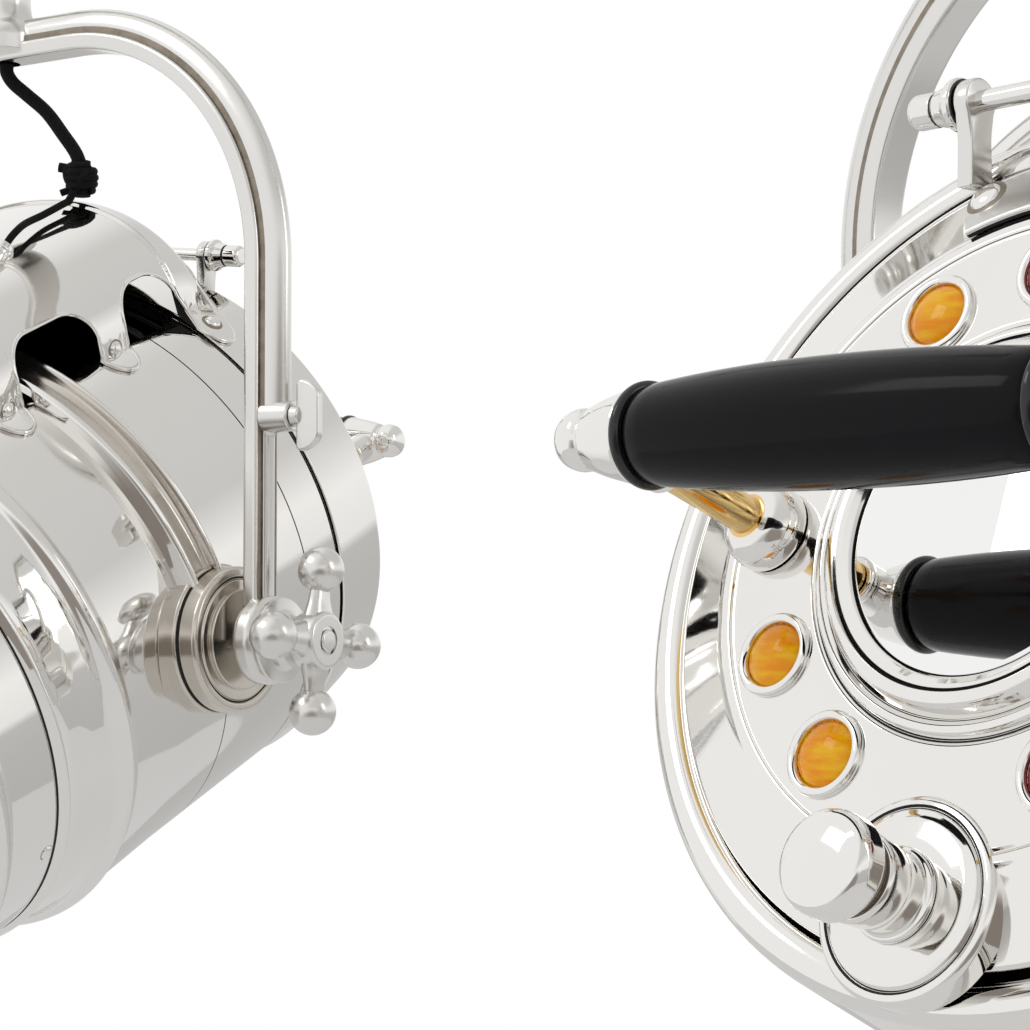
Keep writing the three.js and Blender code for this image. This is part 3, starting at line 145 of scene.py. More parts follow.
EAR_THICKNESS, EAR_DEPTH, EAR_LEAN, EAR_LENGTH = 6, 11, 22, 30
BOSS_RADIUS, BOSS_FRONT, BOSS_ROOT, BOSS_SEAT, BOSS_FACE = 39.5, 38, 141, 149, 168
STUD_REACH = 212
WASHER_RADIUS, THREAD_CREST, THREAD_GROOVE, THREAD_PITCH, THREADS = 26, 4.9, 4.3, 1.7, 14
KNOB_FACE = EYE_MIDDLE + EYE_THICKNESS / 2 + FIT_GAP
KNOB_MIDDLE, KNOB_ARM, KNOB_BALL, KNOB_TURN = 24.5, 36, 12, 60
TIE_PLACE = (37.2, 20.3, 255.4)
TIE_STRANDS = (
    (2.1, 6, ((-1, 4, 7), (-3, 0, 8.5), (-5, -6, 5), (-3, -7, -2), (2, -6.5, -5))),
    (2.1, 6, ((4, 2, 6), (6.3, -3, 3), (5.2, -6, -2), (1, -5, -7))),
    (2.8, 5, ((-2, -1.5, 3), (-6.4, -3.6, 5.6), (-10.6, -6.2, 6.6))),
    (2.0, 5, ((-1, -1, -4), (-6, -3.6, -6.4), (-9.6, -5.8, -8))),
)
CORD_ROUTE = (
    (0, 0, 320.2), (0, 0, 316), (2.2, 2.2, 310.5), (8, 6.8, 304), (17.9, 12.9, 293.8),
    (26.7, 16.9, 281), (33.8, 19.8, 270), (37.2, 20.5, 262),
)
LEAD_ROUTES = {
    "a": (
        (38, 9.5, 241.2), (38.3, 2.3, 237.6), (39, -12, 230.4), (42.6, -29, 223.2),
        (46.3, -38.8, 218.2), (45.81, -43.21, 213.76), (45.18, -46.5, 209.26),
    ),
    "b": (
        (38, 9.5, 241.2), (38.3, 2.3, 237.6), (38.8, -6, 232.6), (42.5, -20, 225.6),
        (46.2, -28.2, 220.3), (45.81, -32.72, 215.61), (45.18, -36.22, 211.28),
    ),
}


def a_length(name, description, default, low, high):
    return bpy.props.FloatProperty(name=name, description=description, default=default,
                                   min=low, max=high, unit="LENGTH")


def a_colour(name, description, *default):
    return bpy.props.FloatVectorProperty(name=name, description=description, subtype="COLOR",
                                         size=4, min=0, max=1, default=(*default, 1))


class ChandelierSizes(bpy.types.PropertyGroup):
    """Small sizes that a maker may want to change."""

    cord_radius: a_length("Cord radius", "Radius of the cord from the crown to the tie",
                          0.0038, 0.002, 0.006)
    lead_radius: a_length("Lead radius", "Radius of the lead from the tie to the hood",
                          0.002, 0.001, 0.004)
    tab_screw: a_length("Tab screw radius", "Radius of the domed screws in the hood's tabs",
                        0.0048, 0.002, 0.008)
    hinge_screw: a_length("Hinge screw radius",
                          "Radius of the domed screws in the hinge's band", 0.006, 0.003, 0.008)
    jewel_rim: a_length("Jewel rim width", "Width of the polished rim round each jewel",
                        0.0036, 0.002, 0.006)


class ChandelierFinishes(bpy.types.PropertyGroup):
    """Colours and gloss of the chandelier's finishes."""

    nickel: a_colour("Nickel", "Colour of the polished nickel", 0.83, 0.815, 0.79)
    nickel_gloss: bpy.props.FloatProperty(
        name="Nickel roughness", description="Lowest roughness of the polished nickel",
        default=0.035, min=0, max=0.5, subtype="FACTOR")
    brass: a_colour("Brass", "Colour of the handle's posts", 0.80, 0.56, 0.24)
    grip: a_colour("Grip", "Colour of the lacquered grip", 0.006, 0.006, 0.007)
    amber: a_colour("Amber glass", "Colour of the amber jewels", 0.95, 0.32, 0.004)
    red: a_colour("Red glass", "Colour of the red jewels", 0.17, 0.007, 0.006)
    cord: a_colour("Cord", "Colour of the braided cord", 0.0035, 0.0035, 0.004)


class ChandelierStudio(bpy.types.PropertyGroup):
    """The room that the chandelier is shown in."""

    floor: a_colour("Floor", "Colour of the pale floor", 0.86, 0.86, 0.86)
    floor_radius: a_length("Floor radius", "Radius of the floor disc", 2.6, 1, 10)
    floor_drop: a_length("Floor depth", "How far the floor lies under the chandelier",
                         0.9, 0.1, 3)
    key_power: bpy.props.FloatProperty(
        name="Key power", description="Power of the large soft light", default=6, min=0,
        unit="POWER")
    fill_level: bpy.props.FloatProperty(
        name="Fill level", description="Strength of the room's light", default=0.75, min=0)


def sizes():
    return bpy.context.scene.chandelier_sizes


def finishes():
    return bpy.context.scene.chandelier_finishes


def studio():
    return bpy.context.scene.chandelier_studio


# Frames of the heads

def framed(origin, x, y, z):
    """A frame that takes millimetres to its place in metres."""
    turn = Matrix((x, y, z)).transposed().to_4x4()
    return Matrix.Translation(origin) @ turn @ WHOLE


class Head:
    """One head's frames: the yoke's, the tilting body's, the drum's and the hinge's."""

    def __init__(self, name):
        self.name = name
        tilt = JOINTS[f"tilt_{name}"]
        pivot = Vector(tilt["pos_m"])
        across = -Vector(tilt["axis"]).normalized()
        rear = Vector(JOINTS[f"latch_turn_{name}"]["axis"]).normalized()
        self.yoke = framed(pivot, across, UP.cross(across), UP)
        self.tilted = framed(pivot, across, rear, across.cross(rear))
        self.drum = moved(self.tilted, 0, PIVOT_BACK, PIVOT_DROP)
        self.turned_door = self.drum @ spin(HINGE_TURN[name], "Y")
        self.hinge = moved(self.turned_door, 0, HINGE_BEHIND, HINGE_HEIGHT)

    def called(self, piece):
        return f"{piece}_{self.name}"

    def finished(self, name, node_name, body, bm, coats="nickel", slot="polished_steel",
                 clean=True):
        """Finishes a piece that stands for one of this head's nodes."""
        ridden = self.called(body) if body not in (None, "frame") else body
        return finished(self.called(name), bm, coats, ridden, [self.called(node_name)],
                        clean)


HEADS = (Head("a"), Head("b"))
SIDES = {"left": ALONG_X, "right": ALONG_MINUS_X}


# Mesh helpers. Lengths are in millimetres until a place puts them where they belong, in metres.

def padded(outline, edge=EDGE):
    """Fills in the rounding and the finish where points leave them out."""
    return [(*point, *(edge, 0)[len(point) - 2:]) for point in outline]


def soften(outline, closed, edge=EDGE, steps=4):
    """Rounds an outline's corners. A point is (radius, along[, rounding[, finish]])."""
    points = padded(outline, edge)
    made = []
    for i, (radius, along, rounding, finish_after) in enumerate(points):
        here = Vector((radius, along))
        back = Vector(points[i - 1][:2]) - here
        onward = Vector(points[(i + 1) % len(points)][:2]) - here
        shorter = min(back.length, onward.length)
        back.normalize()
        onward.normalize()
        ends = not closed and i in (0, len(points) - 1)
        if ends or rounding <= 0 or shorter < 1e-6 or back.dot(onward) < STRAIGHT:
            made.append((radius, along, finish_after))
            continue
        reach = min(rounding, CORNER_SHARE * shorter)
        outer = here + back * reach * 1.15
        made.append((outer.x, outer.y, points[i - 1][3]))
        for k in range(steps + 1):
            t = k / steps
            p = here + back * reach * (1 - t) ** 2 + onward * reach * t ** 2
            made.append((p.x, p.y, finish_after))
        after = here + onward * reach * 1.15
        made.append((after.x, after.y, finish_after))
    return made


def mirrored(half):
    """An outline from the middle outwards, with its mirror image before it."""
    half = padded(half)
    left = [(radius, -along, rounding, half[i - 1][3] if i else 0)
            for i, (radius, along, rounding, _) in enumerate(half)]
    return left[::-1] + half


def skin(bm, rows, slots=None, around=True, capped=False, columns=None):
    """Joins rows of points with faces. A row of one point is a pole."""
    grid = [[bm.verts.new(point) for point in row] for row in rows]
    for index, (low, high) in enumerate(zip(grid, grid[1:])):
        count = max(len(low), len(high))
        for k in range(count if around else count - 1):
            m = (k + 1) % count
            corners = dict.fromkeys((low[k % len(low)], low[m % len(low)], high[m % len(high)],
                                     high[k % len(high)]))
            if len(corners) > 2:
                face = bm.faces.new(list(corners))
                face.material_index = columns[k] if columns else slots[index] if slots else 0
    if capped:
        for row in (grid[0], grid[-1]):
            bm.faces.new(row)
    return grid


def turned(outline, place, sides=MID_SIDES, bm=None, base=0, closed=None, start=0, sweep=360,
           slot=0):
    """A solid of revolution about Y, with angles counted from Z towards X.

    The outline's places along Y are counted from the base.
    """
    bm = bm if bm is not None else bmesh.new()
    outline = [(p[0], p[1] + base, *p[2:]) for p in outline]
    on_axis = abs(outline[0][0]) < 1e-9 and abs(outline[-1][0]) < 1e-9
    closed = not on_axis if closed is None else closed
    points = soften(outline, closed)
    if closed:
        points.append(points[0])
    whole = sweep >= 360
    steps = sides if whole else max(2, round(sides * sweep / 360))
    angles = [radians(start + sweep * k / steps) for k in range(steps if whole else steps + 1)]
    rows = [[place @ Vector((radius * sin(a), along, radius * cos(a)))
             for a in (angles if radius >= 1e-6 else (0,))] for radius, along, _ in points]
    grid = skin(bm, rows, [p[2] + slot for p in points], around=whole)
    if not whole and closed:
        for side in (0, -1):
            bm.faces.new([row[side] for row in grid[:-1]])
    return bm


def plate(outline, low, high, place, edge=0.8, rounding=1.0, bm=None):
    """A flat plate in X and Z with rounded corners, from a low to a high place on Y."""
    bm = bm if bm is not None else bmesh.new()
    rim = bmesh.new()
    face = rim.faces.new([rim.verts.new((x, low, z))
                          for x, z, _ in soften(outline, True, rounding, 6)])
    raised = bmesh.ops.extrude_face_region(rim, geom=[face])["geom"]
    bmesh.ops.translate(rim, vec=(0, high - low, 0),
                        verts=[v for v in raised if isinstance(v, bmesh.types.BMVert)])
    bmesh.ops.remove_doubles(rim, verts=rim.verts, dist=0.02)
    bmesh.ops.recalc_face_normals(rim, faces=rim.faces)
    flat = [e for e in rim.edges if abs(e.verts[0].co.y - e.verts[1].co.y) < 1e-6]
    bmesh.ops.bevel(rim, geom=flat, offset=edge, segments=3, affect="EDGES", profile=0.5)
    for v in rim.verts:
        v.co = place @ v.co
    held = mesh_of("plate", rim)
    bm.from_mesh(held)
    bpy.data.meshes.remove(held)
    return bm


def route(points, per_span=8):
    """A centripetal curve through points."""
    points = [Vector(p) for p in points]
    points = [2 * points[0] - points[1], *points, 2 * points[-1] - points[-2]]
    made = []
    for i in range(1, len(points) - 2):
        p0, p1, p2, p3 = points[i - 1:i + 3]
        d0, d1, d2 = (sqrt((b - a).length) for a, b in ((p0, p1), (p1, p2), (p2, p3)))
        t1 = ((p1 - p0) / d0 - (p2 - p0) / (d0 + d1) + (p2 - p1) / d1) * d1
        t2 = ((p2 - p1) / d1 - (p3 - p1) / (d1 + d2) + (p3 - p2) / d2) * d1
        for k in range(per_span):
            t = k / per_span
            made.append(p1 + t1 * t + (3 * (p2 - p1) - 2 * t1 - t2) * t ** 2
                        + (2 * (p1 - p2) + t1 + t2) * t ** 3)
    return [*made, points[-2]]


def tube(path, radius, place, sides=CORD_SIDES, bm=None):
    """A round tube on a path, with a UV map that counts turns across and length along."""
    bm = bm if bm is not None else bmesh.new()
    uv = bm.loops.layers.uv.verify()
    across = None
    rows, lengths, length = [], [], 0
    for i, point in enumerate(path):
        ahead = (path[min(i + 1, len(path) - 1)] - path[max(i - 1, 0)]).normalized()
        if across is None:
            across = ahead.orthogonal().normalized()
        across = (across - ahead * across.dot(ahead)).normalized()
        other = ahead.cross(across)
        if i:
            length += (point - path[i - 1]).length
        rows.append([place @ (point + (across * cos(2 * pi * k / sides)
                                       + other * sin(2 * pi * k / sides)) * radius)
                     for k in range(sides)])
        lengths.append(length)
    grid = [[bm.verts.new(p) for p in row] for row in rows]
    for i in range(len(grid) - 1):
        for k in range(sides):
            m = (k + 1) % sides
            face = bm.faces.new((grid[i][k], grid[i][m], grid[i + 1][m], grid[i + 1][k]))
            spots = ((k, i), (k + 1, i), (k + 1, i + 1), (k, i + 1))
            for loop, (turn, step) in zip(face.loops, spots):
                loop[uv].uv = (turn / sides, lengths[step] * MM)
    for row in (grid[0], grid[-1]):
        bm.faces.new(row)
    return bm


def linked(name, data):
    made = bpy.data.objects.new(name, data)
    bpy.context.scene.collection.objects.link(made)
    return made


def mesh_of(name, bm):
    mesh = bpy.data.meshes.new(name)
    bm.to_mesh(mesh)
    bm.free()
    return mesh


def evaluated(source):
    """The mesh that an object with modifiers ends up with. The object goes."""
    graph = bpy.context.evaluated_depsgraph_get()
    mesh = bpy.data.meshes.new_from_object(source.evaluated_get(graph))
    source.modifiers.clear()
    bpy.data.objects.remove(source)
    return mesh


def coat(mesh, coats):
    for key in coats.split():
        mesh.materials.append(finish(key))


def shown(name, mesh, coats, body, nodes):
    """Makes a piece of a mesh: what it is made of, what it rides and what it stands for."""
    coat(mesh, coats)
    mesh.shade_smooth()
    mesh.set_sharp_from_angle(angle=SHARP)
    made = linked(name, mesh)
    if body:
        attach(made, body)
    if nodes:
        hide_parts(*nodes)
    return made


def finished(name, bm, coats, body, nodes=(), clean=True):
    """Makes a piece of a bmesh. A clean one has its faces turned outwards."""
    if clean:
        bmesh.ops.remove_doubles(bm, verts=bm.verts, dist=2e-6)
        bmesh.ops.recalc_face_normals(bm, faces=bm.faces)
    return shown(name, mesh_of(name, bm), coats, body, nodes)


def walled(bm, centre, thickness, coats, inside, rim=0):
    """Gives a sheet a wall on the side of a centre, with other coats inside and on its rim."""
    bm.normal_update()
    if sum(f.normal.dot(f.calc_center_median() - centre) for f in bm.faces) < 0:
        bmesh.ops.reverse_faces(bm, faces=bm.faces)
    mesh = mesh_of("sheet", bm)
    coat(mesh, coats)
    sheet = linked("sheet", mesh)
    wall = sheet.modifiers.new("wall", "SOLIDIFY")
    wall.thickness, wall.offset, wall.use_even_offset = thickness * MM, -1, False
    wall.material_offset, wall.material_offset_rim = inside, rim
    bm = bmesh.new()
    bm.from_mesh(evaluated(sheet))
    return bm


# Finishes

def feed(made, inputs):
    """Sets a node's inputs. Where a value is a socket, it is linked."""
    for name, value in inputs.items():
        if isinstance(value, bpy.types.NodeSocket):
            made.id_data.links.new(value, made.inputs[name])
        else:
            made.inputs[name].default_value = value
    return made


def node(tree, kind, inputs=None, out=0, **settings):
    """Adds a node, and returns one of its outputs."""
    made = tree.nodes.new(kind)
    for name, value in settings.items():
        setattr(made, name, value)
    return feed(made, inputs or {}).outputs[out]


def tree_called(name):
    return bpy.data.node_groups.get(name) or TREE_MAKERS[name](name)


def new_tree(name, kind, sockets):
    """A node group with its sockets, and its two ends."""
    tree = bpy.data.node_groups.new(name, kind)
    for way, label, value, *default in sockets:
        socket = tree.interface.new_socket(name=label, in_out=way,
                                           socket_type="NodeSocket" + value)
        if default:
            socket.default_value = default[0]
    return tree, tree.nodes.new("NodeGroupInput").outputs, tree.nodes.new("NodeGroupOutput")


def marks_tree(name):
    """Faint handling marks: a roughness that varies and a height for a tiny bump."""
    tree, given, outward = new_tree(name, "ShaderNodeTree", (
        ("INPUT", "Vector", "Vector"), ("INPUT", "Size", "Float", 9.0),
        ("INPUT", "Low", "Float", 0.04), ("INPUT", "High", "Float", 0.09),
        ("OUTPUT", "Roughness", "Float"), ("OUTPUT", "Height", "Float"),
        ("OUTPUT", "Mask", "Float")))
    cloud = node(tree, "ShaderNodeTexNoise", {"Vector": given["Vector"], "Scale": given["Size"],
                                              "Detail": 5, "Roughness": 0.6})
    stretched = node(tree, "ShaderNodeMapping", {"Vector": given["Vector"],
                                                 "Scale": (60, 900, 900)})
    hairs = node(tree, "ShaderNodeTexNoise", {"Vector": stretched, "Scale": 1, "Detail": 2})
    spread = node(tree, "ShaderNodeMapRange", {
        "Value": cloud, "From Min": 0.35, "From Max": 0.7, "To Min": given["Low"],
        "To Max": given["High"]})
    feed(outward, {"Roughness": spread, "Height": hairs, "Mask": cloud})
    return tree


def handling_marks(tree, low, high, size=9):
    """The outputs of the marks: their roughness from low to high, height and mask."""
    place = node(tree, "ShaderNodeTexCoord", out="Object")
    return node(tree, "ShaderNodeGroup",
                {"Vector": place, "Size": size, "Low": low, "High": high},
                node_tree=tree_called("handling_marks")).node.outputs


def blend(tree, factor, first, second):
    return node(tree, "ShaderNodeMix", {0: factor, 6: first, 7: second}, 2, data_type="RGBA")


def dent(tree, height, strength, distance):
    return node(tree, "ShaderNodeBump", {"Height": height, "Strength": strength,
                                         "Distance": distance})


def shade(colour, share):
    return (*(min(1, c * share) for c in colour[:3]), 1)


def about(colour):
    return shade(colour, 0.97), shade(colour, 1.03)


def marked(tree, shader, first, second, low, high, bump, size, inputs):
    """A surface between two colours with handling marks."""
    marks = handling_marks(tree, low, high, size)
    feed(shader, {"Base Color": blend(tree, marks["Mask"], first, second),
                  "Roughness": marks["Roughness"],
                  "Normal": dent(tree, marks["Height"], bump, 0.0002), **inputs})


def jewel_glass(tree, shader, colour, light):
    """Streaky coloured glass."""
    place = node(tree, "ShaderNodeTexCoord", out="Object")
    spread = node(tree, "ShaderNodeMapping", {"Vector": place, "Scale": (90, 90, 330)})
    streaks = node(tree, "ShaderNodeTexNoise", {"Vector": spread, "Scale": 1, "Detail": 3})
    share = node(tree, "ShaderNodeMapRange", {"Value": streaks, "From Min": 0.38,
                                              "From Max": 0.68})
    feed(shader, {"Base Color": blend(tree, share, colour, light), "Specular IOR Level": 0.25,
                  "Roughness": handling_marks(tree, 0.04, 0.1)["Roughness"]})


def braid(tree, shader, colour):
    """Black cotton braid: two crossing diagonals on the cord's own UV map."""
    own = node(tree, "ShaderNodeUVMap")
    waves = {}
    for i, slant in enumerate((1, -1)):
        spread = node(tree, "ShaderNodeMapping", {"Vector": own, "Scale": (6, slant * 420, 1)})
        waves[i] = node(tree, "ShaderNodeTexWave", {"Vector": spread, "Scale": 1}, "Fac",
                        bands_direction="DIAGONAL")
    cross = node(tree, "ShaderNodeMath", waves, operation="MAXIMUM")
    feed(shader, {"Base Color": blend(tree, cross, shade(colour, 0.5), shade(colour, 1.9)),
                  "Roughness": 0.75, "Specular IOR Level": 0.15,
                  "Normal": dent(tree, cross, 0.6, 0.0006)})


def pale_paint(tree, shader, colour):
    place = node(tree, "ShaderNodeTexCoord", out="Object")
    cloud = node(tree, "ShaderNodeTexNoise", {"Vector": place, "Scale": 3})
    feed(shader, {"Base Color": blend(tree, cloud, shade(colour, 0.99), shade(colour, 1.01)),
                  "Roughness": 0.8})


def finish_table():
    """Each finish: its name, its maker and what that is given.

    For marked these are two colours, the roughness's two ends, the height and size of the
    marks, and what else the shader is given.
    """
    own, metal = finishes(), {"Metallic": 1}
    low = own.nickel_gloss
    amber = own.amber
    return {
        "nickel": ("polished_nickel", marked, *about(own.nickel), low, low + 0.035, 0.01, 9,
                   metal),
        "cast": ("buffed_cast_nickel", marked, *about(shade(own.nickel, 0.90)), low + 0.14,
                 low + 0.24, 0.05, 9, metal),
        # A darker nickel for the boss and the hoop's valley, and painted shade on the hood's
        # rim: a dark outline where it meets the drum
        "aged": ("aged_nickel", marked, (0.50, 0.455, 0.40, 1), (0.74, 0.705, 0.65, 1),
                 0.12, 0.26, 0.1, 24, metal),
        "patina": ("groove_patina", marked, (0.11, 0.085, 0.06, 1), (0.42, 0.37, 0.31, 1),
                   0.3, 0.5, 0.3, 150, {"Metallic": 0.8}),
        "brass": ("polished_brass", marked, *about(own.brass), 0.08, 0.18, 0.03, 9, metal),
        "mirror": ("mirror_face", marked, *about((0.90, 0.90, 0.89)), 0.004, 0.012, 0, 9,
                   metal),
        "silver": ("reflector_silver", marked, *about((0.92, 0.92, 0.91)), 0.05, 0.10, 0.02, 9,
                   metal),
        # Painted shade: a near-black finish for insides, grooves, holes and gaps, where shade
        # falls
        "dark": ("matt_black_inside", marked, (0.004, 0.004, 0.004, 1),
                 (0.009, 0.009, 0.009, 1), 0.7, 0.9, 0.2, 40, {}),
        "grip": ("black_grip_lacquer", marked, own.grip, shade(own.grip, 1.8), 0.09, 0.15,
                 0.05, 14, {"Specular IOR Level": 0.08}),
        "ring": ("black_ring_gloss", marked, (0.005, 0.005, 0.005, 1), (0.01, 0.01, 0.01, 1),
                 0.12, 0.2, 0.05, 30, {}),
        "ceramic": ("lampholder_ceramic", marked, (0.78, 0.75, 0.68, 1), (0.84, 0.81, 0.75, 1),
                    0.25, 0.4, 0.05, 30, {}),
        "glass": ("clear_glass", marked, (0.95, 0.97, 0.97, 1), (0.99, 0.995, 0.99, 1),
                  0, 0.03, 0, 12, {"Transmission Weight": 1, "IOR": 1.5}),
        "amber": ("amber_glass", jewel_glass, amber,
                  (min(1, amber[0] * 1.15), amber[1] * 1.7, amber[2] * 3, 1)),
        "red": ("red_glass", jewel_glass, own.red, shade(own.red, 1.7)),
        "braid": ("black_cord_braid", braid, own.cord),
        "paint": ("pale_floor", pale_paint, studio().floor),
    }


MADE_FINISHES = {}


def finish(key):
    """A finish by its short name, made when it is first asked for.

    It isn't looked up among Blender's materials, as the frame brings glass of the same name.
    """
    if key not in MADE_FINISHES:
        name, maker, *given = finish_table()[key]
        material = bpy.data.materials.new(name)
        material.use_nodes = True
        maker(material.node_tree, material.node_tree.nodes["Principled BSDF"], *given)
        MADE_FINISHES[key] = material
    return MADE_FINISHES[key]


# Forms that several pieces follow

def outer_radius(along):
    """The head's outer radius from the rear rim to the drum's nose."""
    marks = ((146, 0), (150, -4), (155, -50), (153, DRUM_REAR), (150, -184), (150, -241),
             (139, DRUM_NOSE))
    for (radius_a, a), (radius_b, b) in zip(marks, marks[1:]):
        if along >= b:
            return radius_a + (radius_b - radius_a) * (a - along) / (a - b)
    return marks[-1][0]


def door_slope_at(radius):
    """The height of the door's sloping zone at a radius."""
    return DOOR_RISE - (radius - DOOR_STEP) * (DOOR_RISE / (DOOR_RADIUS - DOOR_STEP))


def hood_point(angle, along):
    share = min(1, abs(along - HOOD_CENTRE) / HOOD_HALF)
    rise = HOOD_RISE * (1 - share ** HOOD_END_POWER)
    across = 1 - min(1, abs(angle) / radians(HOOD_HALF_ANGLE)) ** HOOD_FULLNESS
    radius = outer_radius(along) + FIT_GAP + HOOD_WALL + rise * across ** HOOD_ROUNDING
    return Vector((radius * sin(angle), along, radius * cos(angle)))


def hood_angle_at(height, along):
    """The angle at which the hood comes down to a height, or none where it lies lower."""
    low, high = 0.0, radians(60)
    if hood_point(low, along).z <= height:
        return 0.0
    if hood_point(high, along).z >= height:
        return high
    for _ in range(40):
        middle = (low + high) / 2
        if hood_point(middle, along).z > height:
            low = middle
        else:
            high = middle
    return (low + high) / 2


def hood_edge(along):
    """The height of the hood's lower edge: round tabs between arches."""
    gap, tip = min((abs(along - tab), tip) for tab, tip in TABS)
    if gap <= TAB_HALF:
        return tip + TAB_HALF - sqrt(max(0, TAB_HALF ** 2 - gap ** 2))
    if gap < TAB_HALF + ARCH_ROUND:
        share = (TAB_HALF + ARCH_ROUND - gap) / ARCH_ROUND
        return ARCH_TOP - ARCH_ROUND * (1 - sqrt(max(0, 1 - share ** 2)))
    return ARCH_TOP


def yoke_stations(outside, low, heights=(), steps=36):
    """Places and outward directions round the bar, from one foot over the crown to the other."""
    centre, straight = YOKE_CROWN - YOKE_BEND, YOKE_HALF - YOKE_BEND
    right = [(YOKE_HALF + outside, z, 1.0, 0.0) for z in (low, *heights, centre)]
    reach = YOKE_BEND + outside
    for i in range(1, steps + 1):
        a = i / steps * pi / 2
        right.append((straight + reach * cos(a), centre + reach * sin(a), cos(a), sin(a)))
    left = [(-x, z, -ox, oz) for x, z, ox, oz in right]
    return right + left[::-1]


def bar(bm, stations, section_at, place, columns):
    """Sweeps a section of (out, across) points along the yoke's stations."""
    rows = [[place @ Vector((x + ox * out, across, z + oz * out))
             for out, across in section_at(z)] for x, z, ox, oz in stations]
    skin(bm, rows, capped=True, columns=columns)


# The pieces

def looking(way):
    return way.to_track_quat("Z", "Y").to_euler()


def build_camera():
    camera = linked("view_camera", bpy.data.cameras.new("view_camera"))
    pivots = [Vector(JOINTS[f"tilt_{name}"]["pos_m"]) for name in "ab"]
    camera.location = (pivots[0] + pivots[1]) / 2 + Vector(CAMERA_OFFSET)
    camera.rotation_euler = looking(-Vector(CAMERA_FORWARD))
    camera.data.lens, camera.data.sensor_width = CAMERA_LENS, SENSOR_WIDTH
    camera.data.clip_start, camera.data.clip_end = 0.01, 60
    bpy.context.scene.camera = camera


def build_tie(head):
    """The knot: turns of cord, two cut ends standing out, and a strand to the lead."""
    middle = Vector(TIE_PLACE)
    wraps = []
    turns, steps = 4, 20
    for k in range(turns * steps + 1):
        a = 2 * pi * k / steps
        share = k / (turns * steps)
        reach = 5.5 + 1.6 * sin(pi * share) + 0.4 * sin(3 * a)
        wraps.append(middle + Vector((reach * cos(a), reach * sin(a),
                                      -7 + 14 * share + 0.5 * sin(2 * a))))
    core = [middle + Vector((0, 0, z)) for z in (-9.8, -6, -2, 2, 6, 10)]
    bm = tube(wraps, 2.5, head.yoke, STRAND_SIDES)
    tube(core, 5.4, head.yoke, CORE_SIDES, bm)
    strands = [(radius, route([middle + Vector(p) for p in points], steps))
               for radius, steps, points in TIE_STRANDS]
    lead = route(LEAD_ROUTES[head.name])
    strands.append((sizes().lead_radius / MM + 0.15, [
        middle + Vector((0, -3, -5)), middle.lerp(lead[0], 0.7), lead[0], lead[1]]))
    for radius, path in strands:
        tube(path, radius, head.yoke, STRAND_SIDES, bm)
    return head.finished("cord_tie", "cord", "yoke_body", bm, "braid", "black_cord")


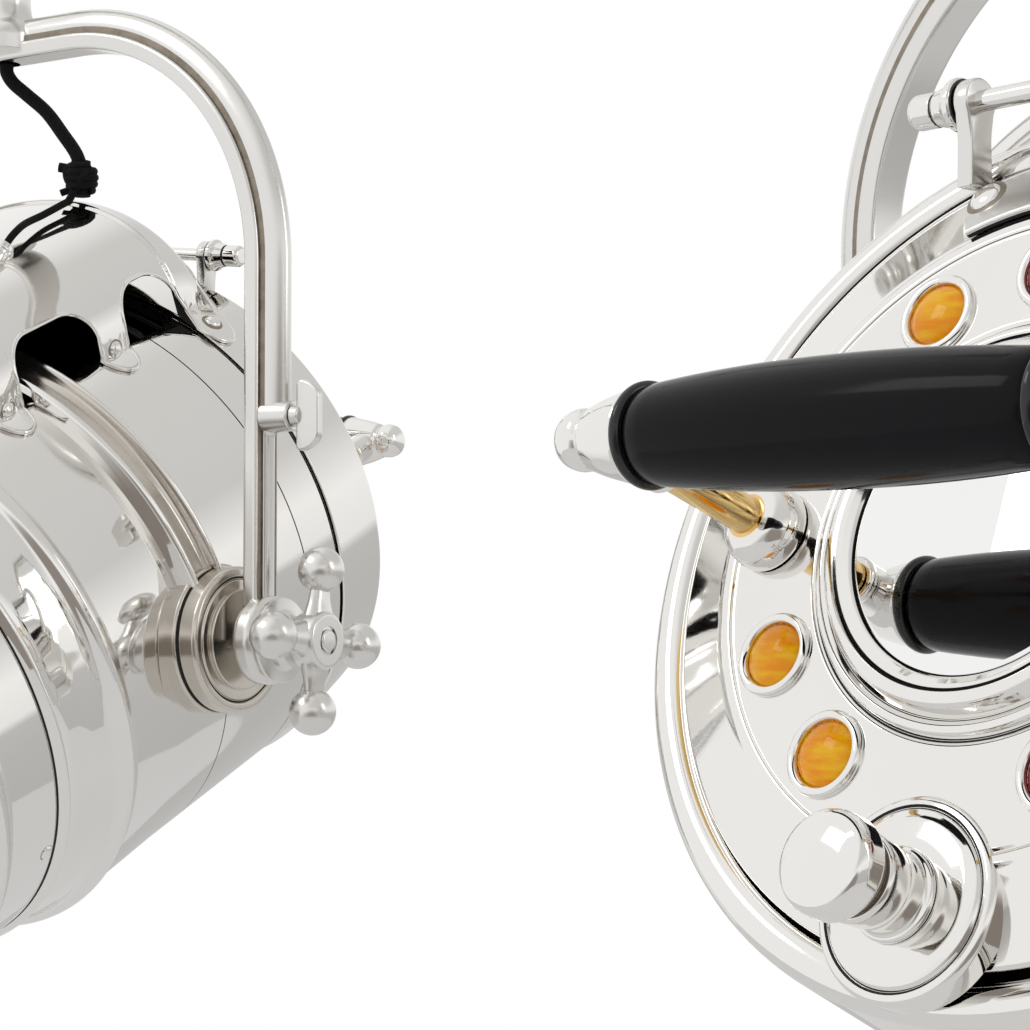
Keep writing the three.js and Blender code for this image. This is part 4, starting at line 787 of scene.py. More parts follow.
def build_cords(head):
    tie = build_tie(head)
    body = head.called("yoke_body")
    for name, node_name, points, radius in (
        ("hanging_cord", "cord", CORD_ROUTE, sizes().cord_radius),
        ("hood_lead", "cord_lead", LEAD_ROUTES[head.name], sizes().lead_radius),
    ):
        path = route(points)
        hangs = name == "hanging_cord"
        made = head.finished(name, node_name, "yoke_body" if hangs else None,
                             tube(path, radius / MM, head.yoke), "braid", "black_cord")
        if hangs:
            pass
        else:
            head.called("head")
            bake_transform(made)


def build_ceiling():
    """The bell, the rod with its nuts and finial, and the two arms with their sockets."""
    place = WHOLE @ ALONG_Z
    top = -PLATE_THICKNESS - FIT_GAP
    neck, bottom, inside = ROD_RADIUS + 0.4, -CANOPY_HEIGHT, CANOPY_RADIUS - CANOPY_WALL
    finished("ceiling_bell", turned([
        (CANOPY_RADIUS, 0), (CANOPY_RADIUS, -CANOPY_LIP, 5), (CANOPY_SHOULDER + 4, -24, 8),
        (CANOPY_SHOULDER - 6, -CANOPY_SHOULDER_DROP - 4, 8), (neck + 6, bottom + 5, 4),
        (neck + CANOPY_WALL, bottom, 0.5), (neck, bottom), (neck, bottom + CANOPY_WALL),
        (CANOPY_SHOULDER - 8, -CANOPY_SHOULDER_DROP, 6),
        (inside, -CANOPY_LIP + CANOPY_WALL, 4), (inside, 0),
    ], place, BIG_SIDES, base=top), "nickel", "frame", ["canopy"])

    over = ARM_HEIGHTS["a"] + COLLAR_HEIGHT / 2 + FIT_GAP
    under = ARM_HEIGHTS["b"] - COLLAR_HEIGHT / 2 - FIT_GAP
    nut = under - ROD_NUT_HEIGHT
    steps = 12
    angles = [radians(40 - 102 * k / steps) for k in range(steps + 1)]
    finished("ceiling_rod", turned([
        (0, 0), (PLATE_RADIUS, 0), (PLATE_RADIUS, -PLATE_THICKNESS, 1.5),
        (ROD_RADIUS, -PLATE_THICKNESS, 1), (ROD_RADIUS, over + ROD_NUT_HEIGHT, 0.3),
        (ROD_NUT - 2, over + ROD_NUT_HEIGHT, 2), (ROD_NUT, over + 6, 3), (ROD_NUT, over, 1.2),
        (ROD_RADIUS, over, 0.4), (ROD_RADIUS, under, 0.4), (ROD_NUT, under, 1.2),
        (ROD_NUT, nut + 5, 2), (ROD_NUT - 2, nut, 1.5), (FINIAL - 5, nut - 2, 1.5),
        *((9.5 * cos(a), nut - 10.5 + 9.5 * sin(a), 0) for a in angles),
        (2.2, nut - ROD_NUT_HEIGHT - 6, 0.8), (0, nut - ROD_NUT_HEIGHT - 6.2, 0),
    ], place), "nickel", "frame", ["down_rod"])

    half, hole = COLLAR_HEIGHT / 2, STEM_RADIUS + FIT_GAP
    low, high = -SOCKET_HEIGHT / 2, SOCKET_HEIGHT / 2
    for head, side in zip(HEADS, (-1, 1)):
        at = moved(WHOLE, z=ARM_HEIGHTS[head.name])
        bm = turned([
            (COLLAR_RADIUS - 2, -half, 1), (COLLAR_RADIUS, -half + 3, 1.5),
            (COLLAR_RADIUS - 1.5, -half + 7, 1), (COLLAR_RADIUS - 1.5, half - 7, 1),
            (COLLAR_RADIUS, half - 3, 1.5), (COLLAR_RADIUS - 2, half, 1),
            (ROD_RADIUS + FIT_GAP, half, 0.3), (ROD_RADIUS + FIT_GAP, -half, 0.3),
        ], at @ ALONG_Z)
        turned([
            (0, COLLAR_RADIUS - 6), (ARM_RADIUS + 4, COLLAR_RADIUS - 6, 0.5),
            (ARM_RADIUS + 4, COLLAR_RADIUS + 3, 1.5), (ARM_RADIUS, COLLAR_RADIUS + 7, 1.5),
            (ARM_RADIUS, ARM_REACH - SOCKET_RADIUS - 4, 1.5),
            (ARM_RADIUS + 3, ARM_REACH - SOCKET_RADIUS - 1, 1),
            (ARM_RADIUS + 3, ARM_REACH - SOCKET_RADIUS + 5, 0.5),
            (0, ARM_REACH - SOCKET_RADIUS + 5),
        ], at @ (ALONG_X if side > 0 else ALONG_MINUS_X), bm=bm)
        turned([
            (SOCKET_RADIUS - 1.5, low, 1), (SOCKET_RADIUS, low + 3, 2),
            (SOCKET_RADIUS, high - 3, 2), (SOCKET_RADIUS - 1.5, high, 1), (hole, high, 0.3),
            (hole, low, 0.3),
        ], moved(at, side * ARM_REACH) @ ALONG_Z, bm=bm)
        head.finished("arm", "cross_arm", "frame", bm)


def build_yoke(head):
    """The bar: a strip with a round rib outside, the crown's boss, two eyes and a seat."""
    place = head.yoke
    out, across = STRIP_THICKNESS / 2, STRIP_WIDTH / 2
    corners = [(out, across), (out, -across), (-out, -across), (-out, across)]
    strip = [point[:2] for point in soften(corners, True, 2.2, 5)]
    outer_face = [int(min(strip[k][0], strip[(k + 1) % len(strip)][0]) > out - 0.3)
                  for k in range(len(strip))]
    bm = bmesh.new()
    bar(bm, yoke_stations(out, 0), lambda z: strip, place, outer_face)

    def rib(z):
        share = min(1, max(0, (z - RIB_END) / RIB_TAPER))
        share = share * share * (3 - 2 * share)
        reach = LEG_ROD_THICKNESS + (RIB_THICKNESS - LEG_ROD_THICKNESS) * share
        half = (LEG_ROD_WIDTH + (RIB_WIDTH - LEG_ROD_WIDTH) * share) / 2
        back = [(reach * cos(radians(a)) ** 0.8, half * sin(radians(a)))
                for a in range(-88, 89, 8)]
        return [*back, (-3, half), (-3, -half)]

    feet = [int(k < 1 or k > 20) for k in range(25)]
    heights = [RIB_END + RIB_TAPER * k / 8 for k in range(9)]
    bar(bm, yoke_stations(STRIP_THICKNESS, 4, heights), rib, place, feet)
    turned([
        (0, YOKE_CROWN + STRIP_THICKNESS - 4),
        (YOKE_FILLET, YOKE_CROWN + STRIP_THICKNESS - 4, 0.4), (YOKE_FILLET, CROWN_TOP - 6, 4),
        (YOKE_BOSS + 1.5, CROWN_TOP + 1, 3.5), (YOKE_BOSS, CROWN_TOP + 9, 2),
        (YOKE_BOSS, YOKE_BOSS_TOP, 1.2), (0, YOKE_BOSS_TOP),
    ], place @ ALONG_Z, bm=bm)
    low, high = EYE_MIDDLE - EYE_THICKNESS / 2, EYE_MIDDLE + EYE_THICKNESS / 2
    for toward in SIDES.values():
        turned([(STUD_HOLE, low), (EYE_RADIUS - 1, low, 1), (EYE_RADIUS, low + 2, 1.2),
                (EYE_RADIUS, high - 3, 2.2), (EYE_RADIUS - 3, high, 1.6), (STUD_HOLE, high)],
               place @ toward, bm=bm)
    face = WING_FACE - FIT_GAP
    turned([(0, YOKE_HALF + STRIP_THICKNESS), (9, YOKE_HALF + STRIP_THICKNESS),
            (8, face - 3, 1.5), (8, face, 0.8), (0, face)],
           moved(place, z=WING_HEIGHT) @ ALONG_X, SMALL_SIDES, bm)
    head.finished("yoke_bar", "yoke", "yoke_body", bm, "cast patina")


def build_stem(head):
    low = YOKE_BOSS_TOP + FIT_GAP
    shoulder = low + STEM_SHOULDER_HEIGHT
    socket = shoulder + FIT_GAP + SOCKET_HEIGHT + FIT_GAP
    nut = YOKE_CROWN + STEM_NUT_HEIGHT
    head.finished("turning_stem", "swivel_stem", "frame", turned([
        (0, YOKE_CROWN), (STEM_NUT, YOKE_CROWN, 0.5), (STEM_NUT, nut, 0.5), (SPINDLE, nut, 0.2),
        (SPINDLE, low, 0.2), (STEM_SHOULDER - 1, low, 0.8), (STEM_SHOULDER, low + 3, 1.5),
        (STEM_SHOULDER, shoulder - 3, 1.5), (STEM_SHOULDER - 1, shoulder, 0.8),
        (STEM_RADIUS, shoulder, 0.2), (STEM_RADIUS, socket, 0.2), (STEM_CAP, socket, 0.8),
        (STEM_CAP, socket + 4, 2.5), (STEM_CAP - 6, socket + STEM_CAP_HEIGHT - 1, 3),
        (0, socket + STEM_CAP_HEIGHT),
    ], head.yoke @ ALONG_Z, SMALL_SIDES))


def build_wing(head):
    place = moved(head.yoke, z=WING_HEIGHT)
    bm = turned([(0, -12), (3.8, -12, 0.4), (3.8, 0, 0.1), (6, 0, 0.6), (5, 5, 1), (0, 5)],
                place @ ALONG_X, SMALL_SIDES, base=WING_FACE)
    root = WING_FACE + 2.5
    spade = ((0, -17), (2.5, -18.5), (8, -17), (14, -12.5), (14, 12.5), (8, 17), (2.5, 18.5),
             (0, 17))
    plate([(root + x, z) for x, z in spade], -2.5, 2.5, place, 1.2, 4, bm)
    head.finished("wing", "wing_screw", "wing", bm, "cast")


def build_knob(head, side):
    """A clamp knob: collar, hub, and a cross of arms with balls round a riveted boss."""
    place = head.tilted @ SIDES[side]
    bm = turned([
        (STUD_HOLE, 0, 0.2), (20, 0, 0.8), (22, 1.5, 1), (22, 3, 1), (19, 4, 0.8),
        (14, 5.5, 2), (12, 10, 3), (13, 16, 3), (15, 18.4, 2), (15.6, KNOB_MIDDLE, 2),
        (15, 30.4, 1.4), (13.4, 32, 1), (7.4, 32, 0.1), (7.2, 31.1, 0, 1), (6, 31.1, 0, 1),
        (5.8, 32, 0.2), (4.8, 32.8, 0.8), (0, 33), (0, KNOB_MIDDLE, 0),
        (STUD_HOLE, KNOB_MIDDLE, 0.1),
    ], place, base=KNOB_FACE, closed=False)
    start = KNOB_ARM - KNOB_BALL + 1.6
    steps = 20
    curve = [(KNOB_BALL * sin(pi * k / steps), KNOB_BALL * -cos(pi * k / steps), 0)
             for k in range(1, steps)]
    for k in range(4):
        a = radians(KNOB_TURN) + k * pi / 2
        out, axis = Vector((-cos(a), 0, sin(a))), Vector((0, 1, 0))
        stand = Matrix((out.cross(axis), out, axis)).transposed().to_4x4()
        at = moved(place, y=KNOB_FACE + KNOB_MIDDLE) @ stand
        turned([(0, 4), (11, 4, 0.2), (9.6, 13, 5), (7.2, 20, 3), (6.4, start, 0.4),
                (0, start)], at @ Matrix.Scale(0.66, 4, (0, 0, 1)), SMALL_SIDES, bm)
        turned([(0, -KNOB_BALL, 0), *curve, (0, KNOB_BALL, 0)], moved(at, y=KNOB_ARM),
               SMALL_SIDES, bm)
    head.finished(f"knob_{side}", f"clamp_knob_{side}", f"knob_{side}", bm, "cast ring")


def build_boss(head, side):
    """A stacked pivot boss on the drum's side, with its washer and threaded stud."""
    place = head.tilted @ SIDES[side]
    back = BOSS_FACE - 11
    # The boss's grooves, the stud's root and its thread's grooves take the near-black finish:
    # painted shade.
    outline = [
        (0, BOSS_ROOT), (BOSS_RADIUS, BOSS_ROOT, 0.2), (BOSS_RADIUS, back - 2.2, 1),
        (BOSS_RADIUS - 1, back - 1.2, 0.4), (BOSS_FRONT - 0.2, back - 1.2, 0.1, 1),
        (BOSS_FRONT - 1.2, back, 0.1), (BOSS_FRONT - 0.6, back, 0.4),
        (BOSS_FRONT, back + 1, 0.8), (BOSS_FRONT, BOSS_FACE - 1.6, 1.2),
        (BOSS_FRONT - 1.6, BOSS_FACE, 1), (BOSS_FRONT - 4.6, BOSS_FACE, 0.4),
        (BOSS_FRONT - 5.4, BOSS_FACE - 1, 0.2, 1), (BOSS_FRONT - 6.4, BOSS_FACE - 1, 0.2),
        (BOSS_FRONT - 7, BOSS_FACE, 0.4), (WASHER_RADIUS, BOSS_FACE, 0.2),
        (WASHER_RADIUS, BOSS_FACE + 2, 0.8), (9, BOSS_FACE + 2, 0.2, 1),
    ]
    along = BOSS_FACE + 2
    for _ in range(THREADS):
        outline += [(THREAD_CREST, along + 0.4, 0.1), (THREAD_CREST, along + 1.0, 0.1, 1),
                    (THREAD_GROOVE, along + 1.4, 0.1, 1),
                    (THREAD_GROOVE, along + THREAD_PITCH, 0.1)]
        along += THREAD_PITCH
    outline += [(THREAD_CREST, along + 1, 0.2), (THREAD_CREST, STUD_REACH - 1, 0.8),
                (0, STUD_REACH)]
    bm = turned(outline, place)
    inverse = place.inverted()
    # The boss's root follows the drum's round side.
    for v in bm.verts:
        local = inverse @ v.co
        if abs(local.y - BOSS_ROOT) < 0.8:
            height = local.z - PIVOT_DROP
            local.y = min(local.y, sqrt(BOSS_SEAT ** 2 - height ** 2)) - 1
            v.co = place @ local
    head.finished(f"side_boss_{side}", f"pivot_boss_{side}", "head", bm, "aged dark")


def build_clamps(head):
    for side in SIDES:
        build_boss(head, side)
        build_knob(head, side)


def build_ring(head):
    inside = RING_RADIUS - 14
    # The ring's inner step and spigot take the near-black finish: painted shade in the gap
    # between the ring and the drum.
    bm = turned([
        (RING_RADIUS + RING_FLARE, RING_LIP, 0.8), (RING_RADIUS + 0.4, -7, 3),
        (RING_RADIUS, -3.4, 2.6), (RING_RADIUS - 4, 0, 2.4), (inside + 4, 0, 2.4),
        (inside, -4, 2.6), (inside, -14, 0.2, 1), (128, -14, 0.3), (128, -17, 0.3),
        (147, -17, 0.3, 1), (147.7, -62.5, 0.2, 1), (150.2, -62.5, 0.2, 1),
        (150.2, RING_LIP, 0.1),
    ], head.drum, BIG_SIDES)
    hole = HINGE_ROD + 0.3
    turned([(hole, -9), (HINGE_EYE - 0.6, -9, 0.5), (HINGE_EYE, -8, 0.8), (HINGE_EYE, 8, 0.8),
            (HINGE_EYE - 0.6, 9, 0.5), (hole, 9)], head.hinge @ ALONG_X, SMALL_SIDES, bm)
    root = -16 - HINGE_BEHIND
    plate([(root, -5), (root, -1.5), (-20, 1.6), (-8, 6), (-3, 6.4), (-3, -6.4), (-9, -5)],
          -9, 9, head.hinge @ spin(90, "Z"), 0.8, 2, bm)
    head.finished("rim_ring", "rear_ring", "head", bm, "nickel dark", "polished_shell")


def followed(*places):
    return [(outer_radius(along), along, 0) for along in places]


def seam(along, width, depth=0.8):
    """A joint line round the drum: a shallow groove whose faces take the near-black finish as
    painted shade.
    """
    radius, half = outer_radius(along), width / 2
    return [(radius, along + half, 0, 1), (radius - depth, along + 0.1, 0, 1),
            (radius - depth, along - 0.1, 0, 1), (radius, along - half, 0, 0)]


def build_drum(head):
    """The drum's shell with its vent, and the hoop with two beads over its top."""
    points = soften([
        (153, DRUM_REAR, 0), (152.9, -57, 0), *followed(VENT_REAR, -70), *seam(-80, 0.9),
        *followed(-100, -125, -148), *seam(-160, 0.8), *followed(-184, VENT_FRONT, -225),
        (150, BAND_BEAD + 5.5, 2), (152, BAND_BEAD + 2.6, 2), (152.6, BAND_BEAD, 2.4),
        (151, BAND_BEAD - 3.2, 2), (147.6, BAND_BEAD - 5.5, 2), (146, -254, 3),
        (143.4, -266, 3), (140.4, -276.5, 2), (139, DRUM_NOSE + 0.8, 0.6),
        (137.6, DRUM_NOSE, 0.5), (128, DRUM_NOSE, 0),
    ], False)
    half = radians(VENT_HALF_ANGLE)
    open_steps, shut_steps = 34, 126
    angles = [-half + 2 * half * k / open_steps for k in range(open_steps)]
    angles += [half + (2 * pi - 2 * half) * k / shut_steps for k in range(shut_steps)]
    bm = bmesh.new()
    grid = [[bm.verts.new(head.drum @ Vector((radius * sin(a), along, radius * cos(a))))
             for a in angles] for radius, along, _ in points]
    for i in range(len(points) - 1):
        middle = (points[i][1] + points[i + 1][1]) / 2
        vent = VENT_FRONT < middle < VENT_REAR and abs(middle - VENT_STRAP) > 0.9
        for k in range(open_steps if vent else 0, len(angles)):
            m = (k + 1) % len(angles)
            face = bm.faces.new((grid[i][k], grid[i + 1][k], grid[i + 1][m], grid[i][m]))
            face.material_index = points[i][2]
    loose = [v for v in bm.verts if not v.link_faces]
    bmesh.ops.delete(bm, geom=loose, context="VERTS")
    # The shell's inside takes the near-black finish: painted shade seen through the vent.
    bm = walled(bm, head.drum @ Vector((0, -150, 0)), DRUM_WALL, "nickel dark dark", 2)
    turned([
        (149.5, 13.8, 0.2), (154, 13.4, 1.2), (159.4, 12.2, 2.4), (161, 10, 2.2),
        (159.6, 7.8, 2.2, 3), (156, 6.2, 1.6, 3), (154.6, 4, 2, 3), (154.6, -4, 2, 3),
        (156, -6.2, 1.6, 3), (159.6, -7.8, 2.2), (161, -10, 2.2), (159.4, -12.2, 2.4),
        (154, -13.4, 1.2), (149.5, -13.8, 0.2),
    ], head.drum, BIG_SIDES, bm, -PIVOT_BACK, start=-95, sweep=190)
    head.finished("drum_shell", "drum", "head", bm, "nickel dark dark aged", "polished_shell",
                  clean=False)


def build_bezel(head):
    pocket, shoulder = REFLECTOR_RIM + 14.3, -282.6
    inner = LENS_RADIUS + FIT_GAP
    rear, front = BEZEL_REAR, BEZEL_FRONT
    # The bezel's inner faces take the near-black finish: painted shade inside the bezel.
    head.finished("lens_bezel", "front_bezel", "head", turned([
        (pocket, rear, 0.2), (140, rear, 1), (142, rear - 1.4, 1.4), (142, rear - 3, 1.4),
        (139.6, rear - 5.4, 1.4), (138, rear - 6.4, 0.6, 1), (137.4, rear - 7.2, 0.2),
        (138, rear - 8, 0.6), (136.6, front + 13, 2), (139.6, front + 7.5, 2.4),
        (139.8, front + 5, 2), (136.8, front + 1, 1.6), (135, front, 1),
        (LENS_OPENING + 1.5, front, 1.2), (LENS_OPENING, front + 1.2, 0.8),
        (LENS_OPENING, front + 3, 0.3), (inner, front + 3, 0.2, 1),
        (inner, shoulder - 7.5, 0.3, 1), (pocket - 10, shoulder - 2.5, 0.3, 1),
        (pocket - 10, shoulder, 0.3, 1), (pocket, shoulder, 0.2),
    ], head.drum, BIG_SIDES), "nickel dark", "polished_shell")


def build_lens(head):
    edge = LENS_OPENING - 0.6
    shares = [0.12 * k for k in range(1, 8)]
    outer = [(edge * s, -LENS_BULGE * (1 - s * s), 0) for s in shares]
    back = [(radius, along + 4, 0) for radius, along, _ in reversed(outer)]
    head.finished("lens", "lens_glass", "head", turned([
        (0, -LENS_BULGE), *outer, (edge, 0, 1), (LENS_RADIUS, 0, 0.5), (LENS_RADIUS, 3.5, 0.5),
        (edge, 3.5, 0.5), *back, (0, 4 - LENS_BULGE),
    ], head.drum, BOWL_SIDES, base=BEZEL_FRONT + 3.3), "glass", "clear_glass")


def build_lamp(head):
    """The reflector with the lampholder and the bulb in its middle."""
    neck, rear = REFLECTOR_NECK, DRUM_NOSE - FIT_GAP
    radii = [neck + (REFLECTOR_RIM - neck) * k / 14 for k in range(15)]
    bowl = [(r, rear + REFLECTOR_DEPTH * (1 - (r / REFLECTOR_RIM) ** 2)) for r in radii]
    front = [(r, y - 2, 0) for r, y in bowl]
    # The reflector's back takes the near-black finish: painted shade inside the drum.
    behind = [(neck, bowl[0][1] + 1, 0, 1), *((r + 1.5, y - 0.5, 0, 1) for r, y in bowl[1:-1])]
    head.finished("bowl", "reflector", "head", turned([
        *front, (REFLECTOR_RIM + 11, rear - 2, 0.3), (REFLECTOR_RIM + 11, rear, 0.3, 1),
        (REFLECTOR_RIM + 1.5, rear, 0.2, 1), *reversed(behind),
    ], head.drum, BOWL_SIDES), "silver dark")

    front_end = bowl[0][1] - 10.7
    head.finished("lamp_socket", "lampholder", "head", turned([
        (0, 48), (18, 48, 2), (19.5, 44, 1.5), (19.5, 21, 0.6), (18, 20, 0.5), (18, 18, 0.5),
        (19.5, 16, 0.5), (27, 16, 1), (27, 12, 1), (19.5, 12, 0.4), (19.5, 2, 1),
        (18.5, 0, 0.8), (13.4, 0, 0.4), (13.4, 27.6, 0.2), (0, 27.6),
    ], head.drum, base=front_end), "ceramic", "white_ceramic")

    start = front_end - FIT_GAP
    cap = [(0, 26.6), (5, 26.6, 1), (8, 23, 1), (11.6, 21, 0.6)]
    for k in range(5):
        cap += [(12.9, 18.4 - 3.6 * k, 0.5), (12.1, 16.6 - 3.6 * k, 0.5)]
    bm = turned([*cap, (12.9, 1, 0.6), (0, 1)], head.drum, SMALL_SIDES, base=start, slot=1)
    steps, height = 16, 68
    curve = [(0, -height, 0)]
    for k in range(1, steps + 1):
        share = 1 - k / steps
        swell = 29.4 * sin(pi * min(1, 0.16 + 0.84 * share) ** 1.25) ** 0.62
        curve.append((max(12.2, swell) if share < 0.5 else swell, -height * share, 0))
    turned([*curve, (12.2, 3, 0), (0, 3, 0)], head.drum, bm=bm, base=start)
    head.finished("lamp_bulb", "bulb", "head", bm, "glass cast", "clear_glass")


def hood_places():
    """Where the hood's rows lie along the drum: denser at its ends, tabs and arches."""
    steps, fine = 90, 8
    places = {round(HOOD_CENTRE + HOOD_HALF * sin(pi / 2 * k / steps), 4)
              for k in range(-steps, steps + 1)}
    for tab, _ in TABS:
        for side in (-1, 1):
            places.add(tab + side * (TAB_HALF + 0.05))
            for step in range(1, fine + 1):
                turn = pi / 2 * step / fine
                places.add(tab + side * TAB_HALF * sin(turn))
                places.add(tab + side * (TAB_HALF + ARCH_ROUND * (1 - cos(turn))))
    return [y for y in sorted(places, reverse=True)
            if hood_point(0, y).z > hood_edge(y) + 0.02]


def build_hood(head):
    """The pressed hood: one smooth sheet whose skirt hangs in round tabs between arches."""
    main, skirt = 26, 14
    rows, beads = [], {1: [], -1: []}
    for y in hood_places():
        arch = hood_angle_at(ARCH_TOP, y)
        last = max(arch, hood_angle_at(hood_edge(y), y))
        right = [arch * k / main for k in range(main + 1)]
        right += [arch + (last - arch) * k / skirt for k in range(1, skirt + 1)]
        angles = [-a for a in reversed(right[1:])] + right
        rows.append([head.drum @ hood_point(a, y) for a in angles])
        for side, path in beads.items():
            point = hood_point(side * last, y) - Vector((sin(side * last), 0, cos(last)))
            if not path or (point - path[-1]).length > 0.3:
                path.append(point)
    bm = bmesh.new()
    skin(bm, rows, around=False)
    bmesh.ops.remove_doubles(bm, verts=bm.verts, dist=2e-6)
    bmesh.ops.dissolve_degenerate(bm, edges=bm.edges, dist=1e-6)
    # The hood's underside and the gland's hole take the near-black finish, and its rim the
    # darker nickel: painted shade under the hood and a painted contact shadow where its edge
    # meets the drum.
    bm = walled(bm, head.drum @ Vector((0, HOOD_CENTRE, 60)), HOOD_WALL, "nickel dark aged",
                1, 2)
    for path in beads.values():
        tube(path, 1.25, head.drum, CORE_SIDES, bm)
    stand = moved(head.drum @ spin(GLAND_ANGLE, "Y"), 0, GLAND_BACK, GLAND_SEAT)
    radius = GLAND_RADIUS
    turned([
        (0, -radius), (radius, -radius, 0.2), (radius, 6, 0.8), (radius - 0.8, 7, 0.4),
        (radius - 0.8, 9, 0.4), (radius - 0.2, 10, 0.5), (radius - 0.8, GLAND_LENGTH, 1),
        (2.4, GLAND_LENGTH, 0.2, 1), (0, GLAND_LENGTH - 1.5),
    ], stand @ spin(-GLAND_LEAN, "X") @ ALONG_Z, SMALL_SIDES, bm)
    head.finished("hood_cover", "hood", "head", bm, "nickel dark aged", "polished_shell",
                  clean=False)


def build_door(head):
    """The rear door with its hub, the mirror in it and the latch knob."""
    place = head.drum
    step, bead, lip = DOOR_STEP, HUB_BEAD, HUB_LIP
    # The grooves by the hub's bead and the mirror's pocket, here and on the latch's plate below,
    # take the near-black finish: painted shade.
    bm = turned([
        (0, 7), (step - 1.5, 7, 0.3), (131.8, -3, 0.3), (131.8, -13.7, 0.3),
        (DOOR_RADIUS, -13.7, 0.3), (DOOR_RADIUS, -0.8, 0.6), (DOOR_RADIUS - 1.6, 0.2, 0.8),
        (step + 4, 8.6, 1.6), (step + 1.4, 9.9, 1.2), (step - 1.6, 10.0, 0.6),
        (step - 2.6, 9.1, 0.4), (step - 4, 9.6, 0.6), (bead + 5.4, 9.8, 1.2),
        (bead + 4.2, 9.2, 0.4, 1), (bead + 3.6, 9.2, 0.1), (bead + 2.6, 12, 1.6),
        (bead + 0.2, 12.8, 1.6), (bead - 1.6, 11.6, 0.5, 1), (bead - 2.0, 11.6, 0.2),
        (lip + 2.2, 16.6, 2), (lip - 0.6, 18, 2), (MIRROR + 4.4, 17.6, 1.6),
        (MIRROR + 1.0, 15.4, 0.8), (MIRROR + 0.3, 14.6, 0.2, 1), (MIRROR + 0.3, 11, 0.2, 1),
        (0, 11),
    ], place, BIG_SIDES)
    centre = moved(place, z=-LATCH_DROP)
    disc = LATCH_PLATE
    turned([
        (5.4, 1.5, 0.3), (disc, 1.5, 0.3), (disc, 9.6, 1.0), (disc - 1.4, 11.0, 1.0),
        (disc - 3.4, 11.2, 0.3, 1), (disc - 4.0, 10.7, 0.1), (disc - 4.8, 11.8, 1.0),
        (disc - 7.5, 13.2, 2.0), (disc - 14, 14, 2.0), (5.4, 14, 0.3),
    ], centre, bm=bm)
    head.finished("door_shell", "rear_door", "door", bm, "nickel dark", "polished_shell")
    head.finished("round_mirror", "door_mirror", "door", turned([
        (0, 11.3), (MIRROR, 11.3, 0.2), (MIRROR, 14.2, 0.5), (MIRROR - 1.2, 14.8, 0.3),
        (0, 14.8)], place, BIG_SIDES), "mirror", "door_mirror")
    bm = turned([
        (0, -34.6), (5, -34.6, 0.3), (5, 0, 0.1), (14.6, 0, 0.5), (14.4, 1.6, 0.6),
        (12.6, 2.6, 0.8), (12.4, 8, 2), (13.4, 11.4, 2), (13.8, 18.4, 0.8), (13, 19.4, 0.4),
        (11.4, 19.7, 0.3, 1), (11.4, 21, 0.2, 1), (12.9, 21.2, 0.2, 1), (12.9, 22.2, 0.2, 1),
        (11.4, 22.4, 0.2, 1), (11.4, 24, 0.3, 1), (14.6, 24.2, 0.5), (15.8, 25.4, 1),
        (15.8, 31.8, 2.4), (14.6, 34.8, 3), (8, 37.1, 3), (0, 37.8),
    ], centre, base=LATCH_FACE)
    plate([(-5, -6), (22, -6), (22, 6), (-5, 6)], -20.3, -17.3, centre, 0.5, 2, bm)
    head.finished("latch_handle", "latch_knob", "latch", bm, "nickel patina")


def jewel_places(angles):
    return [(JEWEL_CIRCLE * cos(radians(a)), JEWEL_CIRCLE * sin(radians(a))) for a in angles]


def build_jewels(head):
    """Faceted glass jewels of each colour on a strip behind the door."""
    steps, low = 24, 4.7
    for colour, angles in (("amber", AMBER_ANGLES), ("red", RED_ANGLES)):
        bm = bmesh.new()
        for x, z in jewel_places(angles):
            turned([(0, low, 0), (JEWEL_RADIUS, low, 0), (JEWEL_RADIUS, DOOR_RISE - 0.2, 0),
                    (JEWEL_RADIUS - 1.2, DOOR_RISE + 1.2, 0),
                    (JEWEL_RADIUS - 5, DOOR_RISE + 2.9, 0),
                    (JEWEL_RADIUS - 7.6, DOOR_RISE + 3.3, 0),
                    (0, DOOR_RISE + JEWEL_HEIGHT, 0)], moved(head.drum, x, 0, z),
                   JEWEL_SIDES, bm)
        first, last = radians(angles[0] - 8), radians(angles[-1] + 8)
        turns = [first + (last - first) * k / steps for k in range(steps + 1)]
        inner, outer = JEWEL_CIRCLE - JEWEL_STRIP_HALF, JEWEL_CIRCLE + JEWEL_STRIP_HALF
        strip = [(outer * cos(a), outer * sin(a), 0) for a in turns]
        strip += [(inner * cos(a), inner * sin(a), 0) for a in reversed(turns)]
        plate(strip, low, low + 2, head.drum, 0.3, 0, bm)
        head.finished(colour, f"{colour}_jewels", "door", bm, colour, f"{colour}_glass")


